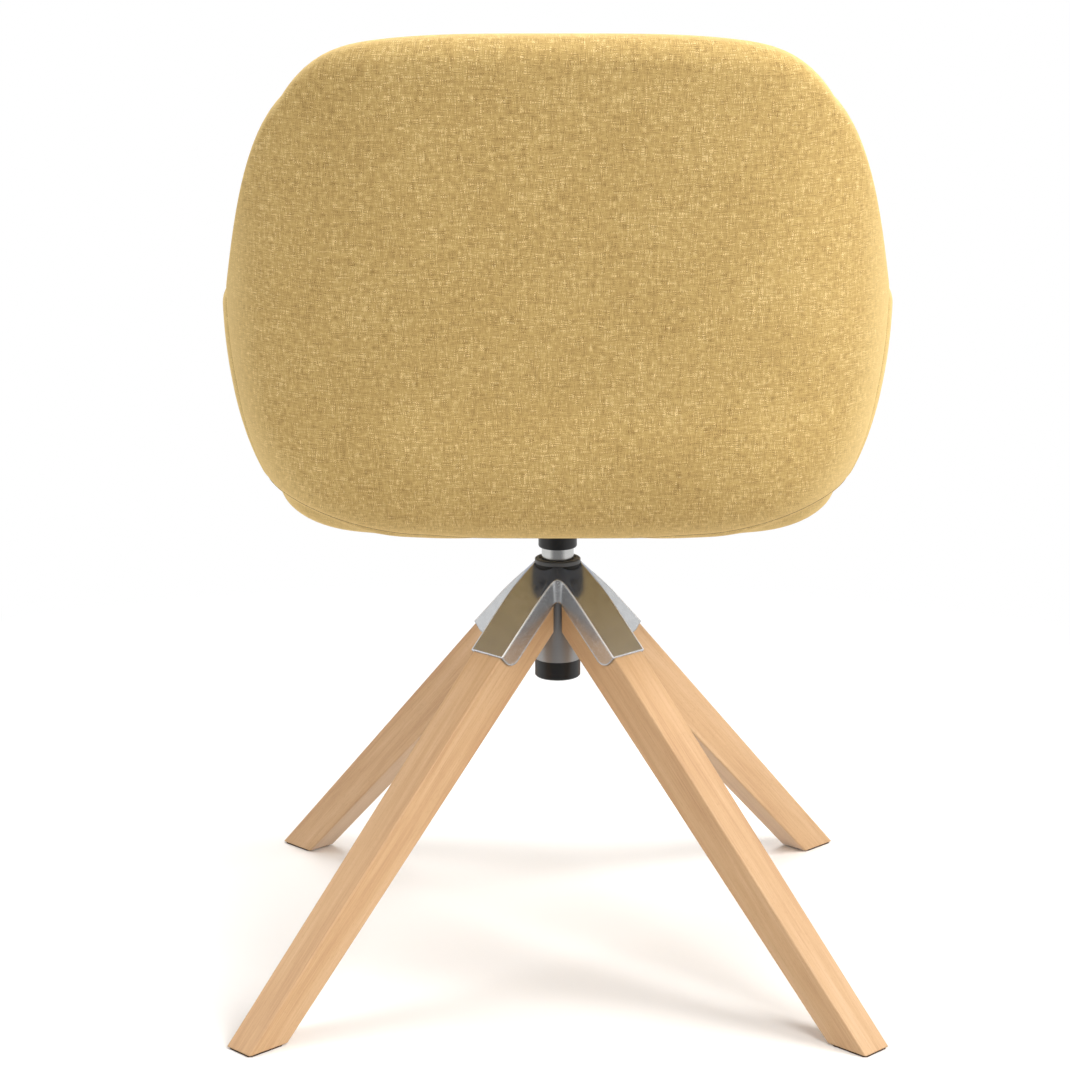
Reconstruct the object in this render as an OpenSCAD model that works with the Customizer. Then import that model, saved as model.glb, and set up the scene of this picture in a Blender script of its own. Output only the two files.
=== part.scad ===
// Upholstered tub chair that swivels on a fixed-height column over four splayed beech legs.
// Millimetres, +Z up. The origin is on the floor under the swivel axis. The sitter faces -Y.
// Plan angles of the shell are measured from the middle of the back, 180 being the front edge.

/* [Shell form] */
// Height of the shell's flat underside above the floor
shell_bottom_z = 402; // [396:1:430]
// Rise of the backrest's crest above the underside
back_rise = 415; // [360:1:460]
// Rise of the armrests' crest above the underside
arm_rise = 212; // [150:1:260]
// Fall of the armrests' crest from their rear end to their middle
arm_fall = 12; // [0:1:24]
// Rise of the front edge's crest above the underside
front_rise = 58; // [54:1:72]
// Half width of the shell where its flat underside ends
half_width_low = 199; // [185:1:225]
// Half width of the shell at its widest
half_width_high = 279; // [262:1:310]
// Rise at which the shell is widest
width_rise = 190; // [150:1:240]
// Depth behind the axis where the flat underside ends
rear_depth_low = 141; // [126:1:150]
// Depth behind the axis where the back stands up
rear_depth_high = 215; // [206:1:245]
// Rise at which the back stands up
rear_rise = 118; // [95:1:140]
// Lean of the back from upright, in degrees
back_lean = 12; // [6:1:18]
// Depth in front of the axis where the flat underside ends
front_depth_low = 210; // [195:1:222]
// Depth in front of the axis at the front edge
front_depth_high = 278; // [262:1:300]
// Rise at which the front edge stands up
front_bulge_rise = 54; // [50:1:75]
// Squareness of the plan outline, where 2 is an ellipse
plan_power = 3.3; // [2.6:0.1:3.6]
// Drop of the back's crest at its rounded corners
crest_drop = 26; // [0:1:36]
// Plan angle at which that drop is reached
crest_drop_angle = 44; // [38:1:56]
// Plan angle at which the back's crest starts to fall towards the armrest
back_corner_angle = 28; // [20:1:36]
// Plan angle at which the armrest's crest is reached
arm_rear_angle = 71; // [66:1:92]
// Plan angle at which the armrest's crest starts to fall
arm_front_angle = 105; // [98:1:115]
// Plan angle at which the front edge is reached
front_angle = 150; // [140:1:160]

/* [Upholstery and frame] */
// Thickness of the padded wall, outside to inside
wall = 46; // [42:1:54]
// Radius of the crest on the outer side of the wall
crest_radius = 22; // [18:1:24]
// Thickness of the outer fabric with its thin foam
cover_thickness = 9; // [6:0.5:10]
// Thickness of the moulded plywood frame
frame_thickness = 6; // [4:0.5:8]
// Running gap between two upholstery layers
layer_gap = 0.5; // [0.4:0.1:1]
// Thickness of the fabric panel under the seat
underside_thickness = 3; // [2:0.5:4]
// Thickness of the plywood seat board
board_thickness = 12; // [10:0.5:14]
// Rise of the seat cushion's edge above the underside
cushion_edge_rise = 60; // [54:1:68]
// Height of the seat cushion's crown above its edge
cushion_crown = 18; // [8:1:30]
// Rise of the lower seam in the middle of the back
seam_rise_back = 6; // [4:0.5:12]
// Rise of the lower seam at the sides
seam_rise_side = 38; // [20:1:48]
// Rise of the lower seam at the front
seam_rise_front = 22; // [14:1:26]
// Depth by which the covers are drawn in at the lower seam
seam_dip = 2.2; // [0:0.2:3]

/* [Legs] */
// Distance from the axis to the outer toe of a foot
foot_radius = 369; // [340:1:400]
// Width of a leg at the foot
leg_width_foot = 30; // [26:0.5:34]
// Width of a leg at the hub
leg_width_hub = 35; // [33.5:0.5:36.5]
// Depth of a leg at the foot, square to its top face
leg_depth_foot = 28; // [24:0.5:32]
// Depth of a leg at the hub, square to its top face
leg_depth_hub = 38.5; // [36:0.5:44]
// Rounding of a leg's long edges
leg_edge_radius = 1.6; // [0.8:0.2:3]
// Distance from the axis to the upright end face of a leg
leg_end_radius = 22.4; // [22.3:0.1:25]
// Thickness of the felt glide under a foot
glide_thickness = 1.8; // [1.5:0.1:4]

/* [Hub casting] */
// Height of the hub's top face above the floor
hub_top_z = 347; // [335:1:352]
// Distance from the axis at which an arm's top plane passes the hub's top face
arm_top_radius = 17; // [14:0.5:20]
// Distance from the axis to the lower end of an arm
arm_reach = 86.5; // [82:0.5:98]
// Outer width of an arm
arm_width = 38; // [37.5:0.25:40]
// Thickness of an arm's two side flanges
flange_thickness = 3; // [2.5:0.25:3.5]
// Thickness of an arm's top plate
plate_thickness = 4; // [3:0.5:5]
// Depth of the flanges, square to the top plate
flange_depth = 18; // [16:0.5:22]
// Height of the arm's lower end above the wood
arm_proud = 1; // [0.5:0.1:1.5]
// Radius of the fold between the flanges of neighbouring arms
fold_radius = 7; // [5:1:14]
// Radius of the rounded tip of a flange
tip_radius = 10; // [6:1:12]

/* [Column and bearing] */
// Outer diameter of the column tube
tube_diameter = 39.9; // [38:0.1:40.4]
// Wall of the column tube
tube_wall = 2.5; // [2:0.25:3]
// Height of the column tube's lower rim above the floor
tube_bottom_z = 260.7; // [255:0.1:266]
// Height of the end cap below the tube
cap_height = 16.3; // [12:0.1:22]
// Diameter of the swivel stem
stem_diameter = 28; // [26:0.5:30]
// Diameter of the stem's lower journal
journal_diameter = 12; // [10:0.5:13]
// Radial running clearance of the stem in its bushes
running_clearance = 0.05; // [0.02:0.01:0.1]
// Height of the bush flange on top of the column
bush_flange = 4; // [3:0.25:6]
// Bare stem between the bush flange and the collar
stem_gap = 9.7; // [6:0.1:14]
// Diameter of the collar under the seat
collar_diameter = 33.6; // [32:0.1:38]
// Diameter of a bearing ball
ball_diameter = 4.8; // [4:0.1:5]
// Number of bearing balls
ball_count = 10; // [8:1:10]

/* [Seat spider] */
// Distance from the axis to a spider bolt
bolt_circle_radius = 76; // [72:1:90]
// Thickness of the spider's plate
spider_thickness = 3; // [2.5:0.25:4]
// Radius of the plate's corner round a bolt
spider_corner_radius = 12; // [11:0.5:15]
// Diameter of the spider's boss
boss_diameter = 42; // [38:1:48]
// Length of the spider's boss below the plate
boss_length = 12; // [10:0.5:14]

/* [Hidden] */

$fn = 64;
fit = 0.1;             // clearance of fixed parts in their seats
slack = 400;           // reach of cutting blocks past what they cut
bite = 1;              // depth by which joined volumes run into each other

// Azimuths of the four arms, from +X, which is to the sitter's left
REAR_LEFT = 45;
REAR_RIGHT = 135;
FRONT_LEFT = 315;
FRONT_RIGHT = 225;
ARMS = [REAR_LEFT, REAR_RIGHT, FRONT_RIGHT, FRONT_LEFT];

BEECH = "burlywood";
CAST = "silver";
STEEL = "dimgray";
BLACK = "black";
FABRIC = "goldenrod";
FOAM = "khaki";

// Shell functions. A rise is a height above the underside; a plan angle runs from the back.
arm_fall_from = 55;
arm_fall_to = 100;
function clamp01(t) = min(max(t, 0), 1);
function smooth(t) = let (c = clamp01(t)) c * c * (3 - 2 * c);
function mix(a, b, t) = a + (b - a) * t;
function bulge(low, high, full, rise) = mix(low, high, sqrt(1 - pow(clamp01((full - rise) / full), 2)));
function half_width(rise) = bulge(half_width_low, half_width_high, width_rise, rise);
function rear_depth(rise) = bulge(rear_depth_low, rear_depth_high, rear_rise, rise)
    + tan(back_lean) * max(rise - rear_rise, 0);
function front_depth(rise) = bulge(front_depth_low, front_depth_high, front_bulge_rise, rise);
function shell_radius(angle, rise) =
    let (depth = cos(angle) >= 0 ? rear_depth(rise) : front_depth(rise))
    pow(pow(abs(cos(angle)) / depth, plan_power) + pow(abs(sin(angle)) / half_width(rise), plan_power),
        -1 / plan_power);
function arm_crest(angle) = arm_rise
    - arm_fall * smooth((abs(angle) - arm_fall_from) / (arm_fall_to - arm_fall_from));
function crest(angle) =
    let (away = abs(angle),
        fall = pow(smooth((away - back_corner_angle) / (arm_rear_angle - back_corner_angle)), 2),
        front = smooth((away - arm_front_angle) / (front_angle - arm_front_angle)),
        back = back_rise - (back_rise - arm_crest(angle)) * fall
            - crest_drop * pow(clamp01(away / crest_drop_angle), 4) * (1 - fall))
    back - (arm_crest(angle) - front_rise) * front;

// Angle by which the wall's inward normal points up, 90 on the flat underside
function normal_tilt(angle, rise) = rise == 0 ? 90
    : atan((shell_radius(angle, rise + 0.25) - shell_radius(angle, rise - 0.25)) / 0.5);
// A point at a depth under the outer surface, as [radius, height]
function skin(angle, rise, depth) =
    let (tilt = normal_tilt(angle, rise))
    [shell_radius(angle, rise) - depth * cos(tilt), shell_bottom_z + rise + depth * sin(tilt)];
// A point at an inset from the outer surface, measured level
function inset(angle, rise, depth, lift = 0) =
    [shell_radius(angle, rise) - depth, shell_bottom_z + rise + lift];

// Lower seam: low behind, where the back panel reaches down to the underside, and higher at the
// sides, where the seat pan shows below the shell
seam_turn_from = 35;
seam_turn_to = 66;
function seam_rise(angle) =
    let (side = smooth((abs(angle) - seam_turn_from) / (seam_turn_to - seam_turn_from)),
        front = smooth((abs(angle) - arm_front_angle) / (front_angle - arm_front_angle)))
    mix(seam_rise_back, seam_rise_side, side) - (seam_rise_side - seam_rise_front) * front;

// Rises of the section points: four up to the lower seam, then steps that widen towards the crest
pan_shares = [0, 0.1, 0.35, 1];
pan_points = len(pan_shares);
wall_steps = 7;
function wall_top(angle) = crest(angle) - crest_radius;
function wall_rises(angle) = let (seam = seam_rise(angle)) [
    for (share = pan_shares) share * seam,
    for (step = [1 : wall_steps]) mix(seam, wall_top(angle), pow(step / wall_steps, 1.5))];
function skin_path(angle, depth, from = 0, to = pan_points + wall_steps - 1) =
    let (rises = wall_rises(angle)) [for (k = [from : to]) skin(angle, rises[k], depth)];
function backwards(list) = [for (k = [len(list) - 1 : -1 : 0]) list[k]];

// Depths of the layers under the outer surface
frame_outer = cover_thickness + layer_gap;
frame_inner = frame_outer + frame_thickness;
pad_outer = frame_inner + layer_gap;
crest_inner_radius = wall - crest_radius;
seam_half_gap = layer_gap / 2;

// Sections of the wall layers, anticlockwise from the lowest outer point
seam_lead = 4;         // height over which a cover comes back out above the lower seam
pan_lead = 0.75;       // share of the pan's height at which it starts to draw in
function outer_crest(angle) = [
    for (turn = [30, 60, 90]) inset(angle, wall_top(angle),
        crest_radius * (1 - cos(turn)) - (turn == 90 ? seam_half_gap : 0), crest_radius * sin(turn))];
function cover_section(angle) = let (
        top = wall_top(angle),
        lip = crest_radius - cover_thickness,
        hem = seam_rise(angle) + seam_half_gap) [
    skin(angle, hem, seam_dip),
    skin(angle, hem + seam_lead, 0),
    each skin_path(angle, 0, pan_points),
    each outer_crest(angle),
    inset(angle, top, crest_radius - seam_half_gap, lip),
    inset(angle, top, cover_thickness, lip),
    each backwards(skin_path(angle, cover_thickness, pan_points)),
    skin(angle, hem, cover_thickness)];
function pan_section(angle) = let (seam = seam_rise(angle), hem = seam - seam_half_gap) [
    each skin_path(angle, 0, 0, pan_points - 2),
    skin(angle, seam * pan_lead, 0),
    skin(angle, hem, seam_dip),
    skin(angle, hem, cover_thickness),
    each backwards(skin_path(angle, cover_thickness, 0, pan_points - 2))];
function frame_section(angle) = let (top = wall_top(angle), lip = crest_radius - frame_outer) [
    each skin_path(angle, frame_outer),
    inset(angle, top, frame_outer, lip),
    inset(angle, top, frame_inner, lip),
    each backwards(skin_path(angle, frame_inner))];

// Rises of the pad's inner face, from just above its foot
pad_first = 2;
pad_shares = [0, 0.12, 0.35, 0.65, 1];
function pad_top(angle) = max(crest(angle) - crest_inner_radius, pad_foot_rise + 4);
function pad_rise(angle, k) = mix(pad_foot_rise, pad_top(angle), pad_shares[k]);
function pad_section(angle) = let (
        top = wall_top(angle),
        lip = crest_radius - frame_outer,
        foot = skin(angle, wall_rises(angle)[pad_first], pad_outer)) [
    each skin_path(angle, pad_outer, pad_first),
    inset(angle, top, pad_outer, lip),
    inset(angle, top, crest_radius + seam_half_gap, lip),
    inset(angle, top, crest_radius + seam_half_gap, crest_radius),
    for (turn = [35, 65]) inset(angle, top, crest_radius + crest_inner_radius * sin(turn),
        crest_radius - (crest(angle) - pad_top(angle)) * (1 - cos(turn))),
    for (k = [len(pad_shares) - 1 : -1 : 0]) inset(angle, pad_rise(angle, k), wall),
    [shell_radius(angle, pad_foot_rise) - wall - bite, foot[1]]];

// Plan angles of the sections on one side, closer together where the back's corner falls
coarse_step = 7.5;
fine_step = 5;
fine_from = 22.5;
fine_to = 67.5;
seam_angle = fine_to;
side_angles = [
    for (angle = [0 : coarse_step : fine_from - coarse_step]) angle,
    for (angle = [fine_from : fine_step : fine_to]) angle,
    for (angle = [fine_to + coarse_step : coarse_step : 180]) angle];
ring_angles = [
    for (k = [len(side_angles) - 1 : -1 : 1]) -side_angles[k],
    for (k = [0 : len(side_angles) - 2]) side_angles[k]];
back_angles = [for (angle = ring_angles) if (abs(angle) <= seam_angle) angle];
seam_turn = 0.12;      // plan angle left open on each side of the side seam
pad_foot_rise = max([for (a = side_angles) skin(a, wall_rises(a)[pad_first], pad_outer)[1]])
    - shell_bottom_z + 1.5;
front_angles = [
    seam_angle + seam_turn,
    for (angle = side_angles) if (angle > seam_angle) angle,
    for (k = [len(side_angles) - 2 : -1 : 0]) if (side_angles[k] > seam_angle) -side_angles[k],
    -seam_angle - seam_turn];

// Solid between sections at a row of plan angles. The two halves mirror each other, and faces
// that lie side by side in two layers are split along the same diagonal. Points up to the turn
// rise on the outer side. A closed row goes right round the shell.
function placed(section, angle) = [
    for (p = section) [p[0] * sin(angle), p[0] * cos(angle), p[1]]];
function band_faces(angles, n, turn, closed) = [
    for (i = [0 : len(angles) - (closed ? 1 : 2)]) for (j = [0 : n - 1])
        let (a = i * n, b = ((i + 1) % len(angles)) * n, m = (j + 1) % n,
            rising = (j < turn) != (sin(angles[i] + 1) < 0))
        each rising ? [[a + j, a + m, b + m], [a + j, b + m, b + j]]
            : [[a + j, a + m, b + j], [a + m, b + m, b + j]]];

module closed_band(sections, angles, turn) {
    polyhedron([for (s = sections) each s],
        band_faces(angles, len(sections[0]), turn, true), convexity = 8);
}

// End of a cover: a triangle at the hem, pairs of triangles up the wall and a fan at the crest
last_skin = wall_steps + 1;
function end_faces(n, first) = [
    [first, first + 1, first + n - 1],
    for (k = [1 : last_skin - 1]) each [
        [first + k, first + k + 1, first + n - k - 1],
        [first + k, first + n - k - 1, first + n - k]],
    [first + last_skin, first + n - last_skin - 1, first + n - last_skin],
    for (k = [last_skin : n - last_skin - 3])
        [first + k, first + k + 1, first + n - last_skin - 1]];

module open_band(sections, angles, turn) {
    n = len(sections[0]);
    polyhedron([for (s = sections) each s], [
        each band_faces(angles, n, turn, false),
        for (face = end_faces(n, 0)) backwards(face),
        each end_faces(n, (len(sections) - 1) * n)], convexity = 8);
}

// Outline of the flat underside, drawn in from its edge
module floor_outline(draw_in) {
    polygon([for (angle = ring_angles)
        let (r = shell_radius(angle, 0) - draw_in) [r * sin(angle), r * cos(angle)]]);
}

// Levels of the seat's stack
underside_top_z = shell_bottom_z + underside_thickness;
board_bottom_z = underside_top_z + layer_gap;
board_top_z = board_bottom_z + board_thickness;
spider_top_z = shell_bottom_z - 0.3;
spider_bottom_z = spider_top_z - spider_thickness;
boss_bottom_z = spider_bottom_z - boss_length;
spider_bolt_radius = 4;
bolt_hole_radius = spider_bolt_radius + 0.3;
washer_thickness = 1.2;
tee_barrel_radius = 5;
tee_flange_radius = 9;
tee_flange_thickness = 1.5;

module at_bolts() {
    for (azimuth = [0 : 90 : 270]) rotate(azimuth) translate([bolt_circle_radius, 0, 0]) children();
}

module back_cover() {
    color(FABRIC) open_band([for (a = back_angles) placed(cover_section(a), a)], back_angles, 12);
}

module front_cover() {
    color(FABRIC) open_band([for (a = front_angles) placed(cover_section(a), a)], front_angles, 12);
}

module pan_cover() {
    color(FABRIC) closed_band([for (a = ring_angles) placed(pan_section(a), a)], ring_angles, 5);
}

module shell_frame() {
    color(BEECH) closed_band([for (a = ring_angles) placed(frame_section(a), a)], ring_angles, 12);
}

module inner_pad() {
    color(FOAM) closed_band([for (a = ring_angles) placed(pad_section(a), a)], ring_angles, 10);
}

module underside_cover() {
    color(FABRIC) translate([0, 0, shell_bottom_z]) linear_extrude(underside_thickness) difference() {
        floor_outline(layer_gap);
        at_bolts() circle(bolt_hole_radius);
    }
}

module seat_board() {
    color(BEECH) translate([0, 0, board_bottom_z]) linear_extrude(board_thickness) difference() {
        floor_outline(layer_gap);
        at_bolts() circle(tee_barrel_radius + running_clearance);
    }
}

// Seat cushion: a disc of rings whose side follows the inner pad and whose top is crowned
cushion_floor_z = board_top_z + tee_flange_thickness + layer_gap;
cushion_side_draw = 14;
cushion_shares = [0.86, 0.6, 0.3];
function cushion_section(angle) = let (
        foot = shell_radius(angle, pad_foot_rise) - wall - bite - layer_gap,
        side = [for (k = [0, 1]) inset(angle, pad_rise(angle, k), wall + layer_gap + (k == 0 ? bite : 0))],
        edge_z = shell_bottom_z + cushion_edge_rise) [
    [foot - cushion_side_draw, cushion_floor_z],
    each side,
    [side[1][0] - 5, edge_z],
    for (share = cushion_shares)
        [side[1][0] * share, edge_z + cushion_crown * (1 - pow(share, 2.4))]];

module seat_cushion() {
    rows = len(ring_angles);
    sections = [for (a = ring_angles) placed(cushion_section(a), a)];
    n = len(sections[0]);
    base = rows * n;
    points = [for (s = sections) each s,
        [0, 0, cushion_floor_z], [0, 0, shell_bottom_z + cushion_edge_rise + cushion_crown]];
    sides = [for (i = [0 : rows - 1]) for (j = [0 : n - 2])
        let (a = i * n + j, b = ((i + 1) % rows) * n + j)
        each sin(ring_angles[i] + 1) > 0 ? [[a, a + 1, b + 1], [a, b + 1, b]]
            : [[a, a + 1, b], [a + 1, b + 1, b]]];
    floor_fan = [for (i = [0 : rows - 1]) [base, i * n, ((i + 1) % rows) * n]];
    crown_fan = [for (i = [0 : rows - 1]) [base + 1, ((i + 1) % rows) * n + n - 1, i * n + n - 1]];
    color(FOAM) polyhedron(points, [each sides, each floor_fan, each crown_fan], convexity = 4);
}

// Seat spider: a square plate with a bolt in each rounded corner, on a boss with four ribs
rib_thickness = 5;
rib_reach = bolt_circle_radius - 12;

module spider_plate() {
    side = sqrt(2) * bolt_circle_radius;
    rotate(45) {
        square([side, side + 2 * spider_corner_radius], center = true);
        square([side + 2 * spider_corner_radius, side], center = true);
    }
    for (azimuth = [0 : 90 : 270]) rotate(azimuth)
        translate([bolt_circle_radius, 0]) circle(spider_corner_radius);
}

module seat_spider() {
    bore = stem_diameter / 2 + running_clearance;
    color(STEEL) difference() {
        union() {
            translate([0, 0, spider_bottom_z]) linear_extrude(spider_thickness) spider_plate();
            translate([0, 0, boss_bottom_z]) cylinder(h = boss_length + bite, d = boss_diameter);
            for (azimuth = [0 : 90 : 270]) rotate(azimuth) rotate([90, 0, 0])
                linear_extrude(rib_thickness, center = true)
                polygon([[boss_diameter / 2 - bite, boss_bottom_z + 1], [boss_diameter / 2, boss_bottom_z + 1],
                    [rib_reach, spider_bottom_z - 1], [rib_reach, spider_bottom_z + bite],
                    [boss_diameter / 2 - bite, spider_bottom_z + bite]]);
        }
        translate([0, 0, boss_bottom_z - bite]) cylinder(h = slack, r = bore);
        translate([0, 0, spider_bottom_z - bite]) at_bolts() cylinder(h = slack, r = bolt_hole_radius);
    }
}

bolt_head_radius = 7;
bolt_head_height = 4.4;
bolt_seat_z = spider_bottom_z - washer_thickness;
socket_radius = 2.9;

module spider_bolts() {
    color(BLACK) at_bolts() difference() {
        union() {
            translate([0, 0, bolt_seat_z - bolt_head_height]) cylinder(h = bolt_head_height, r1 = 5.4, r2 = bolt_head_radius);
            translate([0, 0, bolt_seat_z - bite])
                cylinder(h = board_top_z - bolt_seat_z + bite - 2, r = spider_bolt_radius);
        }
        translate([0, 0, bolt_seat_z - bolt_head_height - bite]) cylinder(h = bite + 2.4, r = socket_radius, $fn = 6);
    }
}

module spider_washers() {
    color(STEEL) at_bolts() translate([0, 0, bolt_seat_z]) difference() {
        cylinder(h = washer_thickness, r = bolt_head_radius + 1.5);
        translate([0, 0, -bite]) cylinder(h = slack, r = spider_bolt_radius + 0.2);
    }
}

module tee_nuts() {
    color(STEEL) at_bolts() difference() {
        union() {
            translate([0, 0, board_bottom_z + 1]) cylinder(h = board_thickness - 1 + bite / 2, r = tee_barrel_radius);
            translate([0, 0, board_top_z]) cylinder(h = tee_flange_thickness, r = tee_flange_radius);
        }
        translate([0, 0, board_bottom_z - bite]) cylinder(h = slack, r = spider_bolt_radius + running_clearance);
    }
}

// Column, stem and thrust bearing, all turned about the swivel axis
tube_radius = tube_diameter / 2;
tube_bore = tube_radius - tube_wall;
stem_radius = stem_diameter / 2;
journal_radius = journal_diameter / 2;
cap_spigot = 5.3;
cap_wall = 2.4;
tube_floor_z = tube_bottom_z + cap_spigot + 2;
tube_floor_thickness = 3;
race_thickness = 2;
race_radius = 13.5;
ball_play = 0.02;
lower_race_z = tube_floor_z + tube_floor_thickness;
ball_centre_z = lower_race_z + race_thickness + ball_play + ball_diameter / 2;
upper_race_z = ball_centre_z + ball_diameter / 2 + ball_play;
stem_shoulder_z = upper_race_z + race_thickness;
ball_circle_radius = (race_radius + journal_radius) / 2;
retainer_play = 0.2;
retainer_thickness = 1.5;
clip_thickness = 1.2;
retainer_z = tube_floor_z - retainer_play - retainer_thickness;
clip_z = retainer_z - clip_thickness;
groove_radius = journal_radius - 1.2;
journal_end_z = clip_z - 2.5;
collar_bottom_z = hub_top_z + bush_flange + stem_gap;

module ring(inner, outer, height, z) {
    translate([0, 0, z]) difference() {
        cylinder(h = height, r = outer);
        translate([0, 0, -bite]) cylinder(h = height + 2 * bite, r = inner);
    }
}

module column_tube() {
    color(STEEL) difference() {
        translate([0, 0, tube_bottom_z]) cylinder(h = hub_top_z - tube_bottom_z, r = tube_radius);
        translate([0, 0, lower_race_z]) cylinder(h = slack, r = tube_bore);
        translate([0, 0, tube_bottom_z - bite]) cylinder(h = tube_floor_z - tube_bottom_z + bite, r = tube_bore);
        translate([0, 0, tube_bottom_z]) cylinder(h = slack, r = journal_radius + 1);
    }
}

bush_sleeve = 22;
bush_recess = 1.2;
bush_lip_radius = stem_radius + 2.4;

module upper_bush() {
    bore = stem_radius + running_clearance;
    color(BLACK) rotate_extrude() polygon([
        [bore, hub_top_z - bush_sleeve],
        [tube_bore - running_clearance, hub_top_z - bush_sleeve],
        [tube_bore - running_clearance, hub_top_z],
        [tube_radius, hub_top_z],
        [tube_radius, hub_top_z + bush_flange - 0.8],
        [tube_radius - 0.8, hub_top_z + bush_flange],
        [bush_lip_radius, hub_top_z + bush_flange],
        [bush_lip_radius - 0.4, hub_top_z + bush_flange - bush_recess],
        [bore, hub_top_z + bush_flange - bush_recess]]);
}

lower_bush_height = 18;
lower_bush_lift = 5;

module lower_bush() {
    color(BLACK) ring(stem_radius + running_clearance, tube_bore - running_clearance,
        lower_bush_height, stem_shoulder_z + lower_bush_lift);
}

module lower_race() {
    color(STEEL) ring(journal_radius + 0.4, race_radius, race_thickness, lower_race_z);
}

module upper_race() {
    color(STEEL) ring(journal_radius + running_clearance, race_radius, race_thickness, upper_race_z);
}

module at_balls() {
    for (k = [0 : ball_count - 1]) rotate(k * 360 / ball_count)
        translate([ball_circle_radius, 0, ball_centre_z]) children();
}

module bearing_balls() {
    color(STEEL) at_balls() sphere(d = ball_diameter);
}

cage_thickness = 1.8;

module ball_cage() {
    color("gold") difference() {
        ring(journal_radius + 0.4, race_radius - 0.4, cage_thickness, ball_centre_z - cage_thickness / 2);
        at_balls() cylinder(h = ball_diameter, r = ball_diameter / 2 + 0.08, center = true);
    }
}

module stem() {
    top_z = spider_top_z;
    bore = stem_radius - 3;
    color(CAST) rotate_extrude() polygon([
        [0, journal_end_z],
        [journal_radius - 0.8, journal_end_z],
        [journal_radius, journal_end_z + 0.8],
        [journal_radius, clip_z - 0.05],
        [groove_radius, clip_z - 0.05],
        [groove_radius, clip_z + clip_thickness + 0.05],
        [journal_radius, clip_z + clip_thickness + 0.05],
        [journal_radius, stem_shoulder_z],
        [stem_radius - 1, stem_shoulder_z],
        [stem_radius, stem_shoulder_z + 1],
        [stem_radius, top_z],
        [bore, top_z],
        [bore, stem_shoulder_z + 14],
        [0, stem_shoulder_z + 14]]);
}

module retaining_washer() {
    color(STEEL) ring(journal_radius + running_clearance, journal_radius + 5, retainer_thickness, retainer_z);
}

module retaining_clip() {
    outer = journal_radius + 3;
    color(STEEL) translate([0, 0, clip_z]) linear_extrude(clip_thickness) difference() {
        circle(outer);
        circle(groove_radius + running_clearance);
        translate([0, -groove_radius * 0.7]) square([slack, groove_radius * 1.4]);
    }
}

module end_cap() {
    color(BLACK) rotate_extrude() polygon([
        [0, tube_bottom_z - cap_height],
        [tube_radius - 1.2, tube_bottom_z - cap_height],
        [tube_radius, tube_bottom_z - cap_height + 1.2],
        [tube_radius, tube_bottom_z],
        [tube_bore - running_clearance, tube_bottom_z],
        [tube_bore - running_clearance, tube_bottom_z + cap_spigot],
        [tube_bore - cap_wall, tube_bottom_z + cap_spigot],
        [tube_bore - cap_wall, tube_bottom_z - cap_height + cap_wall],
        [0, tube_bottom_z - cap_height + cap_wall]]);
}

module collar() {
    outer = collar_diameter / 2;
    bore = stem_radius + running_clearance;
    color(BLACK) rotate_extrude() polygon([
        [bore, collar_bottom_z],
        [outer - 1.6, collar_bottom_z],
        [outer - 0.5, collar_bottom_z + 0.5],
        [outer, collar_bottom_z + 1.6],
        [outer, boss_bottom_z],
        [bore, boss_bottom_z]]);
}

// Leg geometry. In a leg's frame, Z runs up its top face from the toe, X is that face's outward
// normal and Y runs across it.
leg_lean = atan((foot_radius - arm_top_radius - arm_proud) / hub_top_z);
leg_length = (foot_radius - leg_end_radius) / sin(leg_lean);
sole_length = leg_depth_foot / cos(leg_lean);

module leg_frame() {
    translate([foot_radius, 0, 0]) rotate([0, -leg_lean, 0]) children();
}

corner_turns = [0, 30, 60, 90];
function rounded_rectangle(x0, x1, half_y, r) = [
    for (corner = [[x1, half_y, 0], [x0, half_y, 90], [x0, -half_y, 180], [x1, -half_y, 270]])
        let (cx = corner[0] + (corner[0] == x1 ? -r : r), cy = corner[1] + (corner[1] > 0 ? -r : r))
        for (turn = corner_turns) [cx + r * cos(corner[2] + turn), cy + r * sin(corner[2] + turn)]];

module leg_slice(along) {
    share = along / leg_length;
    translate([0, 0, along]) linear_extrude(0.01) polygon(rounded_rectangle(
        -mix(leg_depth_foot, leg_depth_hub, share), 0,
        mix(leg_width_foot, leg_width_hub, share) / 2, leg_edge_radius));
}

module leg_blank() {
    overrun = 60;
    difference() {
        leg_frame() hull() {
            leg_slice(-overrun);
            leg_slice(leg_length + overrun);
        }
        translate([0, -slack / 2, glide_thickness - slack]) cube([2 * slack, slack, slack]);
        translate([leg_end_radius - slack, -slack / 2, 0]) cube([slack, slack, 2 * slack]);
    }
}

// Arm geometry. In an arm's frame, X runs down its top plate and Z is the plate's outward normal.
arm_end_z = (foot_radius - arm_reach) / tan(leg_lean) + arm_proud / sin(leg_lean);
arm_pitch = atan((hub_top_z - arm_end_z) / (arm_reach - arm_top_radius));
arm_length = (arm_reach - arm_top_radius) / cos(arm_pitch);

module arm_frame() {
    translate([arm_top_radius, 0, hub_top_z]) rotate([0, arm_pitch, 0]) children();
}

module at_arms() {
    for (azimuth = ARMS) rotate(azimuth) children();
}

// The hub's middle, rounded off by a cone as steep as the arms from under the bush flange
module crown_cone() {
    reach = hub_top_z / tan(arm_pitch);
    cylinder(h = hub_top_z, r1 = tube_radius + 0.6 + reach, r2 = tube_radius + 0.6);
}

// Everything below the four top planes, drawn in square to them
module roof(draw_in) {
    intersection_for (azimuth = ARMS) rotate(azimuth) arm_frame()
        translate([-slack, -slack, -slack - draw_in]) cube([2 * slack, 2 * slack, slack]);
}

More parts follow.
